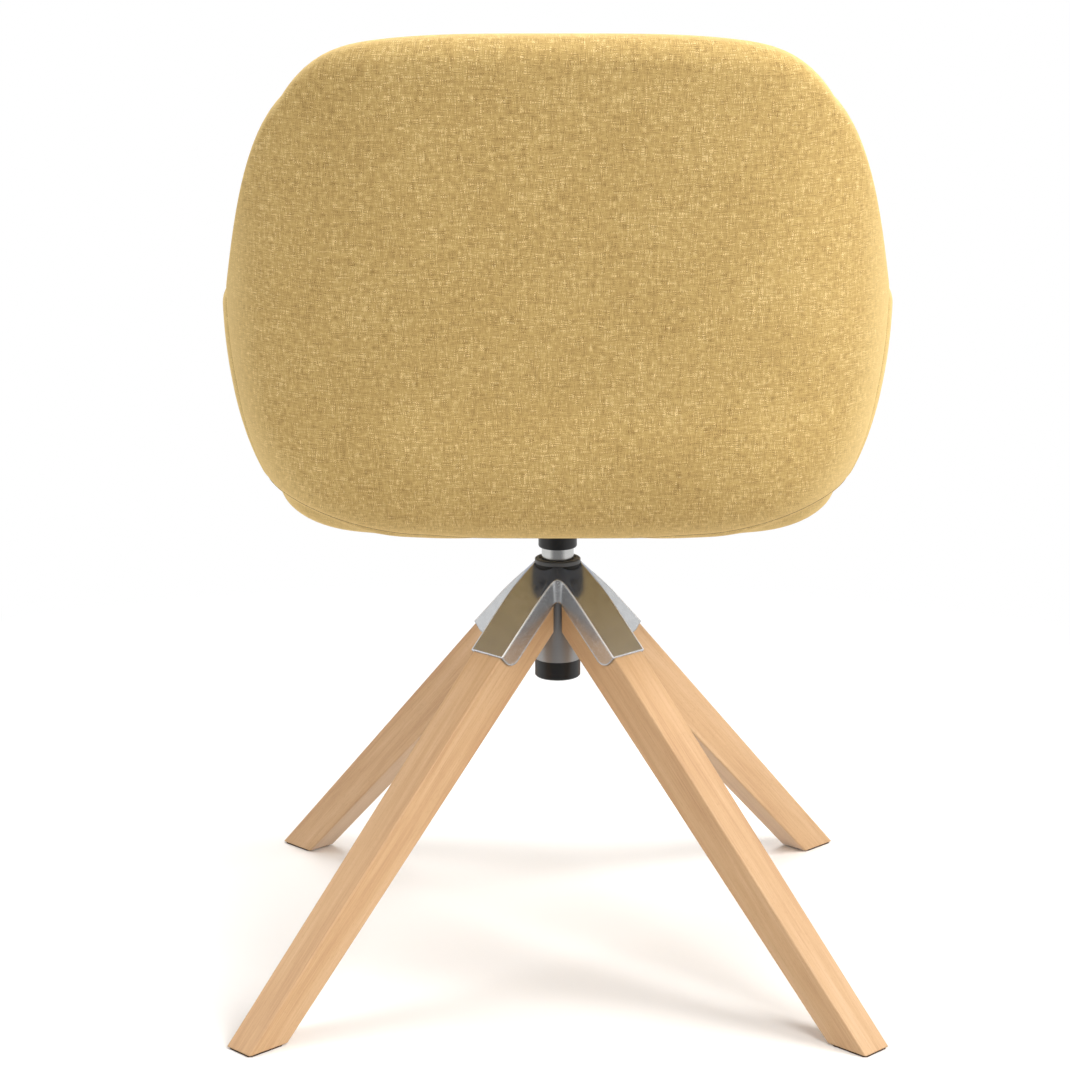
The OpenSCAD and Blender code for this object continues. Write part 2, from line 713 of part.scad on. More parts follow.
// Room for a leg's head under an arm
module pocket(clearance) {
    half = arm_width / 2 - flange_thickness - clearance;
    intersection() {
        translate([leg_end_radius - fit + clearance, -half, 0]) cube([slack, 2 * half, slack]);
        arm_frame() translate([-slack, -slack, -slack - plate_thickness - clearance])
            cube([2 * slack, 2 * slack, slack]);
    }
}

// Side view of the metal round a leg's head, grown by a clearance
module arm_side(clearance) {
    depth = flange_depth + clearance;
    end = arm_length + clearance;
    radius = tip_radius + clearance;
    rotate([90, 0, 0]) linear_extrude(slack, center = true) {
        translate([-slack, -depth]) square([slack + end - radius, depth + slack / 4]);
        translate([0, -depth + radius]) square([end, depth - radius + slack / 4]);
        translate([end - radius, -depth + radius]) circle(radius);
    }
}

module hub_plan() {
    half = arm_width / 2;
    reach = half + fold_radius;
    at_arms() {
        translate([0, -half]) square([arm_reach + flange_depth, arm_width]);
        difference() {
            square(reach);
            translate([reach, reach]) circle(fold_radius);
        }
    }
}

// Screws run square to the top plate, from under the leg into a boss on the plate
screw_seats = [56, 84];
lug_radius = 6;
lug_depth = 12;
tap_depth = 2;
screw_radius = 3;
screw_seat_depth = 27;
screw_head_radius = 5;
screw_head_height = 6;
counterbore_radius = 7;

module at_screws() {
    for (seat = screw_seats) arm_frame() translate([seat, 0, 0]) children();
}

module hub_casting() {
    color(CAST) difference() {
        union() {
            difference() {
                intersection() {
                    linear_extrude(hub_top_z) hub_plan();
                    roof(0);
                    crown_cone();
                    union() {
                        at_arms() intersection() {
                            arm_frame() arm_side(0);
                            translate([0, -slack / 2, 0]) cube([slack, slack, slack]);
                        }
                        cylinder(h = slack, r = arm_width);
                    }
                }
                roof(flange_depth);
                at_arms() pocket(0);
            }
            at_arms() at_screws() translate([0, 0, -lug_depth])
                cylinder(h = lug_depth - plate_thickness + bite, r = lug_radius);
        }
        translate([0, 0, -bite]) cylinder(h = slack + hub_top_z, r = tube_radius + 0.02);
        at_arms() at_screws() translate([0, 0, -lug_depth - bite])
            cylinder(h = lug_depth + bite - tap_depth, r = screw_radius + running_clearance);
    }
}

glide_screw_radius = 1.7;
glide_screw_length = 13;
glide_screw_head = 3.2;
glide_inset = 1;
glide_corner = 2.5;
glide_from = foot_radius - sole_length + glide_inset;
glide_to = foot_radius - glide_thickness * tan(leg_lean) - glide_inset;
glide_screw_at = (glide_from + glide_to) / 2 - 3;

module at_glide_screw() {
    translate([glide_screw_at, 0, 0]) children();
}

module leg(azimuth) {
    color(BEECH) rotate(azimuth) difference() {
        leg_blank();
        difference() {
            arm_frame() arm_side(fit);
            pocket(fit);
        }
        at_screws() {
            translate([0, 0, -lug_depth - fit]) cylinder(h = slack / 4, r = lug_radius + fit);
            translate([0, 0, -slack / 4]) cylinder(h = slack / 2, r = screw_radius + 0.3);
            translate([0, 0, -slack / 4 - screw_seat_depth]) cylinder(h = slack / 4, r = counterbore_radius);
        }
        at_glide_screw() cylinder(h = glide_screw_length + 1, r = glide_screw_radius + running_clearance);
    }
}

module leg_rear_left() leg(REAR_LEFT);
module leg_rear_right() leg(REAR_RIGHT);
module leg_front_left() leg(FRONT_LEFT);
module leg_front_right() leg(FRONT_RIGHT);

module leg_washers() {
    color(STEEL) at_arms() at_screws() translate([0, 0, -screw_seat_depth - washer_thickness]) difference() {
        cylinder(h = washer_thickness, r = screw_head_radius + 1.5);
        translate([0, 0, -bite]) cylinder(h = washer_thickness + 2 * bite, r = screw_radius + 0.2);
    }
}

module leg_screws() {
    head_z = -screw_seat_depth - washer_thickness;
    color(BLACK) at_arms() at_screws() difference() {
        union() {
            translate([0, 0, head_z - screw_head_height]) cylinder(h = screw_head_height, r = screw_head_radius);
            translate([0, 0, head_z - bite]) cylinder(h = -head_z + bite - tap_depth - 0.5, r = screw_radius);
        }
        translate([0, 0, head_z - screw_head_height - bite]) cylinder(h = bite + 3, r = 2.4, $fn = 6);
    }
}

module glide(azimuth) {
    half = leg_width_foot / 2 - glide_inset;
    color("saddlebrown") rotate(azimuth) difference() {
        linear_extrude(glide_thickness) polygon([
            [glide_from, -half + glide_corner], [glide_from + glide_corner, -half],
            [glide_to - glide_corner, -half], [glide_to, -half + glide_corner],
            [glide_to, half - glide_corner], [glide_to - glide_corner, half],
            [glide_from + glide_corner, half], [glide_from, half - glide_corner]]);
        at_glide_screw() {
            translate([0, 0, -bite]) cylinder(h = slack, r = glide_screw_radius + running_clearance);
            translate([0, 0, -bite]) cylinder(h = bite + 1, r = glide_screw_head + running_clearance);
        }
    }
}

module glide_rear_left() glide(REAR_LEFT);
module glide_rear_right() glide(REAR_RIGHT);
module glide_front_left() glide(FRONT_LEFT);
module glide_front_right() glide(FRONT_RIGHT);

module glide_screws() {
    color(STEEL) at_arms() at_glide_screw() {
        translate([0, 0, 0.3]) cylinder(h = 0.7, r = glide_screw_head);
        translate([0, 0, 0.6]) cylinder(h = glide_screw_length - 0.6, r = glide_screw_radius);
    }
}

leg_rear_left();
leg_rear_right();
leg_front_left();
leg_front_right();
hub_casting();
column_tube();
upper_bush();
lower_bush();
end_cap();
lower_race();
ball_cage();
bearing_balls();
leg_screws();
leg_washers();
glide_rear_left();
glide_rear_right();
glide_front_left();
glide_front_right();
glide_screws();
stem();
upper_race();
retaining_washer();
retaining_clip();
collar();
seat_spider();
spider_bolts();
spider_washers();
tee_nuts();
seat_board();
shell_frame();
back_cover();
front_cover();
pan_cover();
underside_cover();
inner_pad();
seat_cushion();
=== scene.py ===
"""Upholstered tub chair on a swivelling column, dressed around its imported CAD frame.

The rigid pieces keep their CAD meshes and get their finishes here. The upholstery is built anew from
the outline formulas that its solids follow too, in millimetres, and becomes metres in each mesh.
"""

import math

import bmesh
import bpy
import numpy as np
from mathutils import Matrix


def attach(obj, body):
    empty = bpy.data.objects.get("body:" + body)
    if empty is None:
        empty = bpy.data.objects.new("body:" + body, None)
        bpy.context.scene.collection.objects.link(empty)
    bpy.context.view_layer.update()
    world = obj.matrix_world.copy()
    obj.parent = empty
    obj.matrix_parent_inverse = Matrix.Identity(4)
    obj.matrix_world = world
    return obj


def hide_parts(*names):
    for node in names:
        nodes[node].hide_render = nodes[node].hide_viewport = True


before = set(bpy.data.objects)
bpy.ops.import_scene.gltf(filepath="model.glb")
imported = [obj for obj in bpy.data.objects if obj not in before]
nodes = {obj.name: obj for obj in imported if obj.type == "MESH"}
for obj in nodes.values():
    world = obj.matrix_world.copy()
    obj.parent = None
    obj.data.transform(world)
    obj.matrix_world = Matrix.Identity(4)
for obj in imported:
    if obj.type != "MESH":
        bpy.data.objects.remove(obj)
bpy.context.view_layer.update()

# Camera
# It stands behind the chair, 2.41 m from the swivel axis and 0.94 m up, and looks 13.4 degrees down.
# The shift puts the swivel axis a little right of the middle of the picture.
camera = bpy.data.objects.new("camera", bpy.data.cameras.new("camera"))
bpy.context.scene.collection.objects.link(camera)
camera.location = (0, 2.4106, 0.9448)
camera.rotation_euler = (math.radians(90 - 13.39), 0, math.pi)
camera.data.lens = 95.75
camera.data.sensor_width = 36
camera.data.shift_x = -0.0212
camera.data.clip_end = 200
bpy.context.scene.camera = camera

# Legs
# Four square legs of beech under a clear matt lacquer, screwed to the hub from below. The grain runs
# along each leg, with slow bands, fine streaks and the short dark flecks of beech rays.
LEG_LEAN = 45.33  # degrees from upright
LEG_AZIMUTHS = {"leg_rear_left": 45, "leg_rear_right": 135, "leg_front_left": 315, "leg_front_right": 225}
LEG_GRAIN_SHIFT = 0.31  # metres from one leg's grain to the next, so that no two look alike


def add(tree, kind, sockets=None, **settings):
    """Makes a node. Of the values for its inputs, a socket is linked and any other value is set."""
    made = tree.nodes.new(kind)
    for key, value in settings.items():
        setattr(made, key, value)
    for key, value in (sockets or {}).items():
        if isinstance(value, bpy.types.NodeSocket):
            tree.links.new(value, made.inputs[key])
        else:
            made.inputs[key].default_value = value
    return made


def calc(tree, operation, *values):
    return add(tree, "ShaderNodeMath", dict(enumerate(values)), operation=operation).outputs[0]


def times(tree, first, second):
    return calc(tree, "MULTIPLY", first, second)


def between(tree, share, first, second):
    """A number between two others: the share says how much of the second is in it."""
    return add(tree, "ShaderNodeMix", {0: share, 2: first, 3: second}).outputs[0]


def blended(tree, share, *colours):
    """A colour between two others, each a socket or red, green and blue."""
    first, second = [c if isinstance(c, bpy.types.NodeSocket) else (*c, 1) for c in colours]
    return add(tree, "ShaderNodeMix", {0: share, 6: first, 7: second}, data_type="RGBA").outputs[2]


def ramp(tree, value, *stops):
    made = add(tree, "ShaderNodeValToRGB", {0: value})
    points = made.color_ramp.elements
    while len(points) < len(stops):
        points.new(0.5)
    for point, (place, colour) in zip(points, stops):
        point.position = place
        point.color = (*colour, 1)
    return made.outputs[0]


def mask(tree, value, low, high, before=0.0, after=1.0):
    """Grey that runs from one shade to another while the value goes from low to high."""
    return ramp(tree, value, (low, (before, before, before)), (high, (after, after, after)))


def noise(tree, place, scale, detail=2.0, roughness=0.5, distortion=0.0):
    made = add(tree, "ShaderNodeTexNoise", {
        "Vector": place, "Scale": scale, "Detail": detail,
        "Roughness": roughness, "Distortion": distortion})
    return made.outputs[0]


def joined(tree, x, y, z=0.0):
    return add(tree, "ShaderNodeCombineXYZ", {0: x, 1: y, 2: z}).outputs[0]


def split(tree, place):
    return tuple(add(tree, "ShaderNodeSeparateXYZ", {0: place}).outputs)


def own_place(tree):
    """The chair's own metres: every piece's object sits at the origin."""
    return add(tree, "ShaderNodeTexCoord").outputs["Object"]


def soft_edges(tree, radius, samples=6):
    return add(tree, "ShaderNodeBevel", {"Radius": radius}, samples=samples).outputs[0]


def relief(tree, height, strength, depth, edges=None):
    """The normal of a shallow relief, over softened edges if their normal is given."""
    sockets = {"Strength": strength, "Distance": depth, "Height": height}
    if edges is not None:
        sockets["Normal"] = edges
    return add(tree, "ShaderNodeBump", sockets).outputs[0]


def new_group(name, **inputs):
    """A node group that materials share, and the sockets of its inputs by name."""
    tree = bpy.data.node_groups.new(name, "ShaderNodeTree")
    for label, kind in inputs.items():
        tree.interface.new_socket(label, in_out="INPUT", socket_type="NodeSocket" + kind)
    return tree, tree.nodes.new("NodeGroupInput").outputs


def put_out(group, **results):
    """Gives a group its outputs: each is a kind of socket and what feeds it."""
    for label, (kind, _) in results.items():
        group.interface.new_socket(label, in_out="OUTPUT", socket_type="NodeSocket" + kind)
    out = group.nodes.new("NodeGroupOutput")
    for label, (_, result) in results.items():
        group.links.new(result, out.inputs[label])


def use_group(tree, group, **sockets):
    return add(tree, "ShaderNodeGroup", sockets, node_tree=group).outputs


def new_material(name):
    made = bpy.data.materials.new(name)
    made.use_nodes = True
    made.node_tree.nodes.clear()
    out = made.node_tree.nodes.new("ShaderNodeOutputMaterial")
    return made, made.node_tree, out


def shade(tree, out, **sockets):
    """Ends a material in a Principled shader, whose sockets are named with underscores."""
    labels = {key.replace("_", " "): value for key, value in sockets.items()}
    shader = add(tree, "ShaderNodeBsdfPrincipled", labels)
    tree.links.new(shader.outputs[0], out.inputs[0])
    return shader.outputs[0]


def dress(material, *node_names):
    for node_name in node_names:
        nodes[node_name].data.materials.clear()
        nodes[node_name].data.materials.append(material)


beech, given = new_group("beech_grain", Azimuth="Float", Lean="Float", Shift="Float")
turned = add(beech, "ShaderNodeVectorRotate", {"Vector": own_place(beech), "Angle": given["Azimuth"]},
             rotation_type="Z_AXIS")
leaned = add(beech, "ShaderNodeVectorRotate", {"Vector": turned.outputs[0], "Angle": given["Lean"]},
             rotation_type="Y_AXIS")
leg_x, leg_y, leg_z = split(beech, leaned.outputs[0])
shifted_x = calc(beech, "ADD", leg_x, given["Shift"])


def grain(lengthwise, crosswise, detail, distortion=0.0):
    """Noise drawn out along the leg, by how often it changes in a metre along and across it."""
    stretched = joined(beech, times(beech, shifted_x, crosswise), times(beech, leg_y, crosswise),
                       times(beech, leg_z, lengthwise))
    return noise(beech, stretched, 1.0, detail, 0.55, distortion)


bands = grain(4, 70, 3, 0.4)
streaks = grain(22, 900, 2)
flecks = grain(260, 1500, 1)
wood_color = ramp(beech, between(beech, 0.38, bands, streaks), (0.30, (0.475, 0.270, 0.134)),
                  (0.50, (0.59, 0.366, 0.190)), (0.72, (0.685, 0.46, 0.268)))
fleck_share = times(beech, mask(beech, flecks, 0.60, 0.70), 0.30)
put_out(beech,
        Color=("Color", blended(beech, fleck_share, wood_color, (0.42, 0.22, 0.10))),
        Roughness=("Float", calc(beech, "MULTIPLY_ADD", streaks, 0.18, 0.38)),
        Height=("Float", calc(beech, "MULTIPLY_ADD", flecks, 0.4, streaks)))


def beech_material(name, azimuth, shift):
    made, tree, out = new_material(name)
    wood = use_group(tree, beech, Azimuth=math.radians(-azimuth), Lean=math.radians(LEG_LEAN), Shift=shift)
    shade(tree, out, Base_Color=wood["Color"], Roughness=wood["Roughness"],
          Normal=relief(tree, wood["Height"], 0.25, 0.0002, soft_edges(tree, 0.0012)),
          Specular_IOR_Level=0.4, Coat_Weight=0.12, Coat_Roughness=0.3)
    return made


for number, (leg, azimuth) in enumerate(LEG_AZIMUTHS.items()):
    dress(beech_material("beech_" + leg, azimuth, LEG_GRAIN_SHIFT * number), leg)

# Glides
# A pad of dark pressed felt under each foot, held by a wood screw: short tangled fibres without any
# gloss.
felt, tree, out = new_material("brown_felt")
fibres = noise(tree, own_place(tree), 1400, 3, 0.6, 1.5)
shade(tree, out, Base_Color=ramp(tree, fibres, (0.35, (0.030, 0.017, 0.010)), (0.65, (0.10, 0.06, 0.04))),
      Roughness=0.97, Normal=relief(tree, fibres, 0.8, 0.0003), Specular_IOR_Level=0.1)
dress(felt, "glide_rear_left", "glide_rear_right", "glide_front_left", "glide_front_right")

# Hub casting
# Die-cast aluminium with four arms that grip the heads of the legs. The sloping plates are polished,
# known by how far they look up, and the flanges are satin. The arms' upward-looking edges get a painted
# highlight: a near-white, less metallic tone.
hub_metal, tree, out = new_material("cast_aluminium")
place = own_place(tree)
facing = add(tree, "ShaderNodeNewGeometry").outputs["Normal"]
polish = mask(tree, split(tree, facing)[2], 0.55, 0.66)
ripple = noise(tree, place, 90)
grit = noise(tree, place, 1800)
satin = calc(tree, "MULTIPLY_ADD", grit, 0.12, 0.20)
gloss = calc(tree, "MULTIPLY_ADD", ripple, 0.07, 0.07)
satin_tone = blended(tree, ripple, (0.58, 0.59, 0.60), (0.70, 0.71, 0.72))
plate_tone = blended(tree, ripple, (0.48, 0.52, 0.61), (0.56, 0.60, 0.69))
edges = soft_edges(tree, 0.0026, samples=10)
on_edge = add(tree, "ShaderNodeVectorMath", {0: edges, 1: facing}, operation="DOT_PRODUCT").outputs["Value"]
on_edge = mask(tree, on_edge, 0.955, 0.990, 1, 0)
looks_up = mask(tree, split(tree, edges)[2], 0.15, 0.40)
x, y, _ = split(tree, place)
from_column = calc(tree, "SQRT", calc(tree, "MULTIPLY_ADD", x, x, times(tree, y, y)))
# The painted edge highlight leaves out the folds round the middle, within 30 mm of the swivel axis.
on_arm = mask(tree, times(tree, from_column, 10), 0.30, 0.35)
# Painted highlight on the upper edges of the arms: the colour goes near-white and less metallic there.
painted_edge_highlight = times(tree, times(tree, on_edge, looks_up), on_arm)
shade(tree, out,
      Base_Color=blended(tree, painted_edge_highlight, blended(tree, polish, satin_tone, plate_tone), (1.0, 0.99, 0.98)),
      Metallic=calc(tree, "MULTIPLY_ADD", painted_edge_highlight, -0.80, calc(tree, "MULTIPLY_ADD", polish, -0.07, 0.94)),
      Roughness=between(tree, polish, satin, gloss), Normal=relief(tree, ripple, 0.08, 0.0003, edges))
dress(hub_metal, "hub_casting")

# Zinc-plated hardware
# The screws of the glides, the washers of the leg screws, the bearing's races, the washer and clip
# that hold the stem, and the T-nuts: turned or pressed steel with tool marks and a cloudy tone.
turning, given = new_group("turned_metal", Stretch="Vector")
place = own_place(turning)
drawn_out = add(turning, "ShaderNodeMapping", {"Vector": place, "Scale": given["Stretch"]}).outputs[0]
tool_marks = noise(turning, drawn_out, 700, 3)
clouds = noise(turning, place, 60)
put_out(turning, Tone=("Float", between(turning, 0.5, tool_marks, clouds)), Marks=("Float", tool_marks))


def turned_material(name, dark, light, roughness, stretch=(1, 1, 1), shade_above=None):
    """Bare metal from a dark to a light tone, painted near-black as shade above a height in metres if one is
    given.
    """
    made, tree, out = new_material(name)
    surface = use_group(tree, turning, Stretch=stretch)
    color = blended(tree, surface["Tone"], dark, light)
    if shade_above:
        # Painted shade: above the given height the tube's colour goes near-black.
        height = split(tree, own_place(tree))[2]
        painted_shade = mask(tree, height, shade_above, shade_above + 0.0006)
        color = blended(tree, painted_shade, color, (0.035, 0.035, 0.034))
    shade(tree, out, Base_Color=color, Metallic=1.0,
          Roughness=calc(tree, "MULTIPLY_ADD", surface["Marks"], 0.12, roughness),
          Normal=relief(tree, surface["Marks"], 0.12, 0.0001, soft_edges(tree, 0.0004)))
    return made


zinc_steel = turned_material("zinc_steel", (0.42, 0.42, 0.40), (0.60, 0.60, 0.58), 0.34)
dress(zinc_steel, "glide_screws", "leg_washers", "lower_race", "upper_race", "retaining_washer",
      "retaining_clip", "tee_nuts")

# Column tube
# A steel tube pressed into the hub, dull grey with fine rings. Its upper end, between the arms of the
# hub, is painted near-black to stand in for the shade there.
RINGS = (0.05, 0.05, 3)
tube_steel = turned_material("tube_steel", (0.37, 0.366, 0.36), (0.51, 0.505, 0.497), 0.42, RINGS,
                             shade_above=0.336)
dress(tube_steel, "column_tube")

# Bushes, end cap and collar
# Black plastic, moulded with a fine spark-eroded grain. The upper bush, on which the seat turns, is of
# a greyer grade than the rest.
moulding, given = new_group("moulded_grain", Scale="Float")
place = own_place(moulding)
put_out(moulding, Grain=("Float", noise(moulding, place, given["Scale"])),
        Wear=("Float", noise(moulding, place, 120, 3)))


def black_material(name, dark, light, roughness, grain_scale, depth):
    made, tree, out = new_material(name)
    surface = use_group(tree, moulding, Scale=grain_scale)
    shade(tree, out, Base_Color=blended(tree, surface["Wear"], dark, light),
          Roughness=calc(tree, "MULTIPLY_ADD", surface["Wear"], 0.12, roughness),
          Normal=relief(tree, surface["Grain"], 0.35, depth, soft_edges(tree, 0.0005)))
    return made


black_plastic = black_material("black_plastic", (0.006, 0.006, 0.006), (0.013, 0.012, 0.012), 0.30,
                               grain_scale=2600, depth=0.00006)
bush_plastic = black_material("bush_plastic", (0.085, 0.088, 0.092), (0.11, 0.114, 0.118), 0.34,
                              grain_scale=2600, depth=0.00006)
dress(black_plastic, "lower_bush", "end_cap", "collar")
dress(bush_plastic, "upper_bush")

# Stem and ball bearing
# The stem that carries the seat and the ten balls under it are bright steel. The balls run in a
# stamped brass cage.
bright_steel = turned_material("bright_steel", (0.52, 0.52, 0.51), (0.72, 0.72, 0.70), 0.16, RINGS)
brass = turned_material("stamped_brass", (0.48, 0.33, 0.10), (0.66, 0.48, 0.18), 0.28)
dress(bright_steel, "stem", "bearing_balls")
dress(brass, "ball_cage")

# Seat spider, bolts and leg screws
# Pressed and turned steel, powder coated black with orange peel. The washers under the bolts are
# darkened by phosphating.
powder_black = black_material("powder_black", (0.030, 0.030, 0.029), (0.048, 0.047, 0.045), 0.46,
                              grain_scale=900, depth=0.0001)
phosphated_steel = turned_material("phosphated_steel", (0.035, 0.035, 0.035), (0.06, 0.06, 0.058), 0.42)
dress(powder_black, "seat_spider", "spider_bolts", "leg_screws")
dress(phosphated_steel, "spider_washers")

# Seat board and shell frame
# Raw plywood, the board flat and the frame moulded to the tub: thin layers, light and dark by turns.
plywood, tree, out = new_material("raw_plywood")
place = own_place(tree)
layers = add(tree, "ShaderNodeTexWave", {
    "Vector": place, "Scale": 105.0, "Distortion": 0.6, "Detail": 2.0}, bands_direction="Z").outputs[1]
drawn_out = add(tree, "ShaderNodeMapping", {"Vector": place, "Scale": (14, 300, 300)}).outputs[0]
veneer = noise(tree, drawn_out, 1.0, 3)
ply_tone = between(tree, 0.5, layers, veneer)
shade(tree, out, Base_Color=ramp(tree, ply_tone, (0.3, (0.40, 0.25, 0.12)), (0.7, (0.66, 0.48, 0.29))),
      Roughness=0.8, Normal=relief(tree, veneer, 0.3, 0.0002))
dress(plywood, "seat_board", "shell_frame")

# Back panel
# One piece of woven cloth on foam, glued to the moulded tub from side seam to side seam and over the
# crest. It is drawn in along its seams and crowned between them.
UNDERSIDE_Z = 402.0
BACK_RISE = 415
ARM_RISE = 212
ARM_FALL = 12
ARM_FALL_FROM, ARM_FALL_TURN = 55, 45
FRONT_RISE = 58
FRONT_TURN = 45
HALF_WIDTH_LOW, HALF_WIDTH_HIGH, WIDTH_RISE = 199, 279, 190
REAR_DEPTH_LOW, REAR_DEPTH_HIGH, REAR_RISE = 141, 215, 118
FRONT_DEPTH_LOW, FRONT_DEPTH_HIGH, FRONT_BULGE_RISE = 210, 278, 54
BACK_LEAN = 12
PLAN_POWER = 3.3
BACK_CORNER_ANGLE = 28
ARM_REAR_ANGLE = 71
ARM_FRONT_ANGLE = 105
CREST_DROP = 26
CREST_DROP_ANGLE = 44
CREST_RADIUS = 22
CREST_SEAM_TURN = 103.0
CREST_DEGREE = 0.4  # millimetres of cloth in one degree over the crest
RIM_DEPTH = 7.0
WALL = 46
PAD_LEAST_RISE = 32.0
SEAM_ANGLE = 67.5
SEAM_HALF_GAP = 0.3
SEAM_RISE_MIDDLE = 1
SEAM_RISE_BACK = 6
SEAM_RISE_SIDE = 38
SEAM_RISE_FRONT = 22
SEAM_MIDDLE_TURN = 18
SEAM_CLIMB_FROM, SEAM_CLIMB_TURN = 36.5, 32
YARN_PITCH = 0.0009  # metres, as on all sockets


# The outline of the tub, in millimetres. An angle runs in degrees from the middle of the back, a rise
# is a height above the underside, and either may be an array.
def smooth(t):
    c = np.clip(t, 0, 1)
    return c * c * (3 - 2 * c)


def near(distance, reach):
    return np.exp(-(distance / reach) ** 2)


def bulge(low, high, full, rise):
    """A quarter of an ellipse from the low to the high measure, which it has at the full rise."""
    return low + (high - low) * np.sqrt(1 - np.clip((full - rise) / full, 0, 1) ** 2)


def shell_radius(angle, rise):
    turn = np.radians(angle)
    lean = math.tan(math.radians(BACK_LEAN)) * np.maximum(rise - REAR_RISE, 0)
    rear = bulge(REAR_DEPTH_LOW, REAR_DEPTH_HIGH, REAR_RISE, rise) + lean
    front = bulge(FRONT_DEPTH_LOW, FRONT_DEPTH_HIGH, FRONT_BULGE_RISE, rise)
    depth = np.where(np.cos(turn) >= 0, rear, front)
    width = bulge(HALF_WIDTH_LOW, HALF_WIDTH_HIGH, WIDTH_RISE, rise)
    lengthwise = (np.abs(np.cos(turn)) / depth) ** PLAN_POWER
    sideways = (np.abs(np.sin(turn)) / width) ** PLAN_POWER
    return (lengthwise + sideways) ** (-1 / PLAN_POWER)


def crest(angle):
    away = np.abs(angle)
    fall = smooth((away - BACK_CORNER_ANGLE) / (ARM_REAR_ANGLE - BACK_CORNER_ANGLE)) ** 2
    front = smooth((away - ARM_FRONT_ANGLE) / FRONT_TURN)
    drop = CREST_DROP * np.clip(away / CREST_DROP_ANGLE, 0, 1) ** 4 * (1 - fall)
    arm = ARM_RISE - ARM_FALL * smooth((away - ARM_FALL_FROM) / ARM_FALL_TURN)
    return BACK_RISE - (BACK_RISE - arm) * fall - drop - (arm - FRONT_RISE) * front


def seam_rise(angle):
    """The lower seam. At the sides it runs up to 3 mm lower than in the solids, as photographed."""
    away = np.abs(angle)
    off_middle = smooth((away - SEAM_MIDDLE_TURN) / SEAM_MIDDLE_TURN)
    back = SEAM_RISE_MIDDLE + (SEAM_RISE_BACK - SEAM_RISE_MIDDLE) * off_middle
    up = (SEAM_RISE_SIDE - SEAM_RISE_BACK) * smooth((away - SEAM_CLIMB_FROM) / SEAM_CLIMB_TURN)
    down = (SEAM_RISE_SIDE - SEAM_RISE_FRONT) * smooth((away - ARM_FRONT_ANGLE) / FRONT_TURN)
    return back + up - down


def placed(angle, radius, height):
    turn = np.radians(angle)
    return np.stack([radius * np.sin(turn), radius * np.cos(turn), height + 0 * radius], -1)


def skin(angle, rise, depth):
    """A point at a depth under the tub's outer face."""
    step = 0.25
    wider = shell_radius(angle, rise + step) - shell_radius(angle, np.maximum(rise - step, 0))
    slope = wider / (2 * step)
    tilt = np.where(rise <= 0, math.pi / 2, np.arctan(slope))
    radius = shell_radius(angle, rise) - depth * np.cos(tilt)
    return placed(angle, radius, UNDERSIDE_Z + rise + depth * np.sin(tilt))


def over_crest(angle, turn, depth):
    """A point on the rounded crest. The turn runs from 0 outside over 90 at the top to 180 inside."""
    t = np.radians(turn)
    outside = turn <= 90
    inner_radius = WALL - CREST_RADIUS
    top = crest(angle) - CREST_RADIUS
    wide = np.where(outside, CREST_RADIUS, inner_radius)
    tall = crest(angle) - np.maximum(crest(angle) - inner_radius, PAD_LEAST_RISE)
    in_by = CREST_RADIUS - (wide - depth) * np.cos(t)
    lift_outside = (CREST_RADIUS - depth) * np.sin(t)
    lift_inside = CREST_RADIUS - depth - (tall - depth) * (1 - np.sin(t))
    lift = np.where(outside, lift_outside, lift_inside)
    return placed(angle, shell_radius(angle, top) - in_by, UNDERSIDE_Z + top + lift)


# The cloth: a plain weave of melange yarn. Each yarn has its own tone that drifts along it, so short
# light and dark strokes run both ways, and they are busier in some patches than in others.
weave, given = new_group("melange_weave", Cloth="Vector")
u, v, _ = split(weave, given["Cloth"])
wander_u = times(weave, noise(weave, given["Cloth"], 55), 0.004)
wander_v = times(weave, noise(weave, joined(weave, v, u, 3), 55), 0.004)
across = calc(weave, "DIVIDE", calc(weave, "ADD", u, wander_u), YARN_PITCH)
along = calc(weave, "DIVIDE", calc(weave, "ADD", v, wander_v), YARN_PITCH)
warp_number = calc(weave, "FLOOR", across)
weft_number = calc(weave, "FLOOR", along)
warp_place = joined(weave, times(weave, warp_number, 0.73), times(weave, v, 130))
weft_place = joined(weave, times(weave, u, 130), times(weave, weft_number, 0.73), 9)
warp_tone = noise(weave, warp_place, 1.0, 1.5)
weft_tone = noise(weave, weft_place, 1.0, 1.5)
warp_streak = noise(weave, joined(weave, times(weave, u, 330), times(weave, v, 28)), 1.0)
weft_streak = noise(weave, joined(weave, times(weave, u, 28), times(weave, v, 330), 4), 1.0)
warp_on_top = calc(weave, "FLOORED_MODULO", calc(weave, "ADD", warp_number, weft_number), 2)
yarn_tone = between(weave, warp_on_top, weft_tone, warp_tone)
tone = between(weave, 0.26, yarn_tone, between(weave, 0.5, warp_streak, weft_streak))
busy = calc(weave, "MULTIPLY_ADD", noise(weave, given["Cloth"], 75), 0.94, 0.46)
tone = calc(weave, "MULTIPLY_ADD", calc(weave, "SUBTRACT", tone, 0.5), busy, 0.5)
patches = calc(weave, "SUBTRACT", noise(weave, given["Cloth"], 14, 3), 0.5)
tone = calc(weave, "MULTIPLY_ADD", patches, 0.10, tone)
cloth_color = ramp(weave, tone, (0.33, (0.30, 0.19, 0.067)), (0.45, (0.462, 0.308, 0.111)),
                   (0.56, (0.575, 0.402, 0.155)), (0.67, (0.82, 0.64, 0.32)))
warp_round = calc(weave, "SINE", times(weave, calc(weave, "FRACT", across), math.pi))
weft_round = calc(weave, "SINE", times(weave, calc(weave, "FRACT", along), math.pi))
yarn_height = calc(weave, "MULTIPLY_ADD", tone, 0.8, times(weave, warp_round, weft_round))
put_out(weave, Color=("Color", cloth_color), Height=("Float", yarn_height))

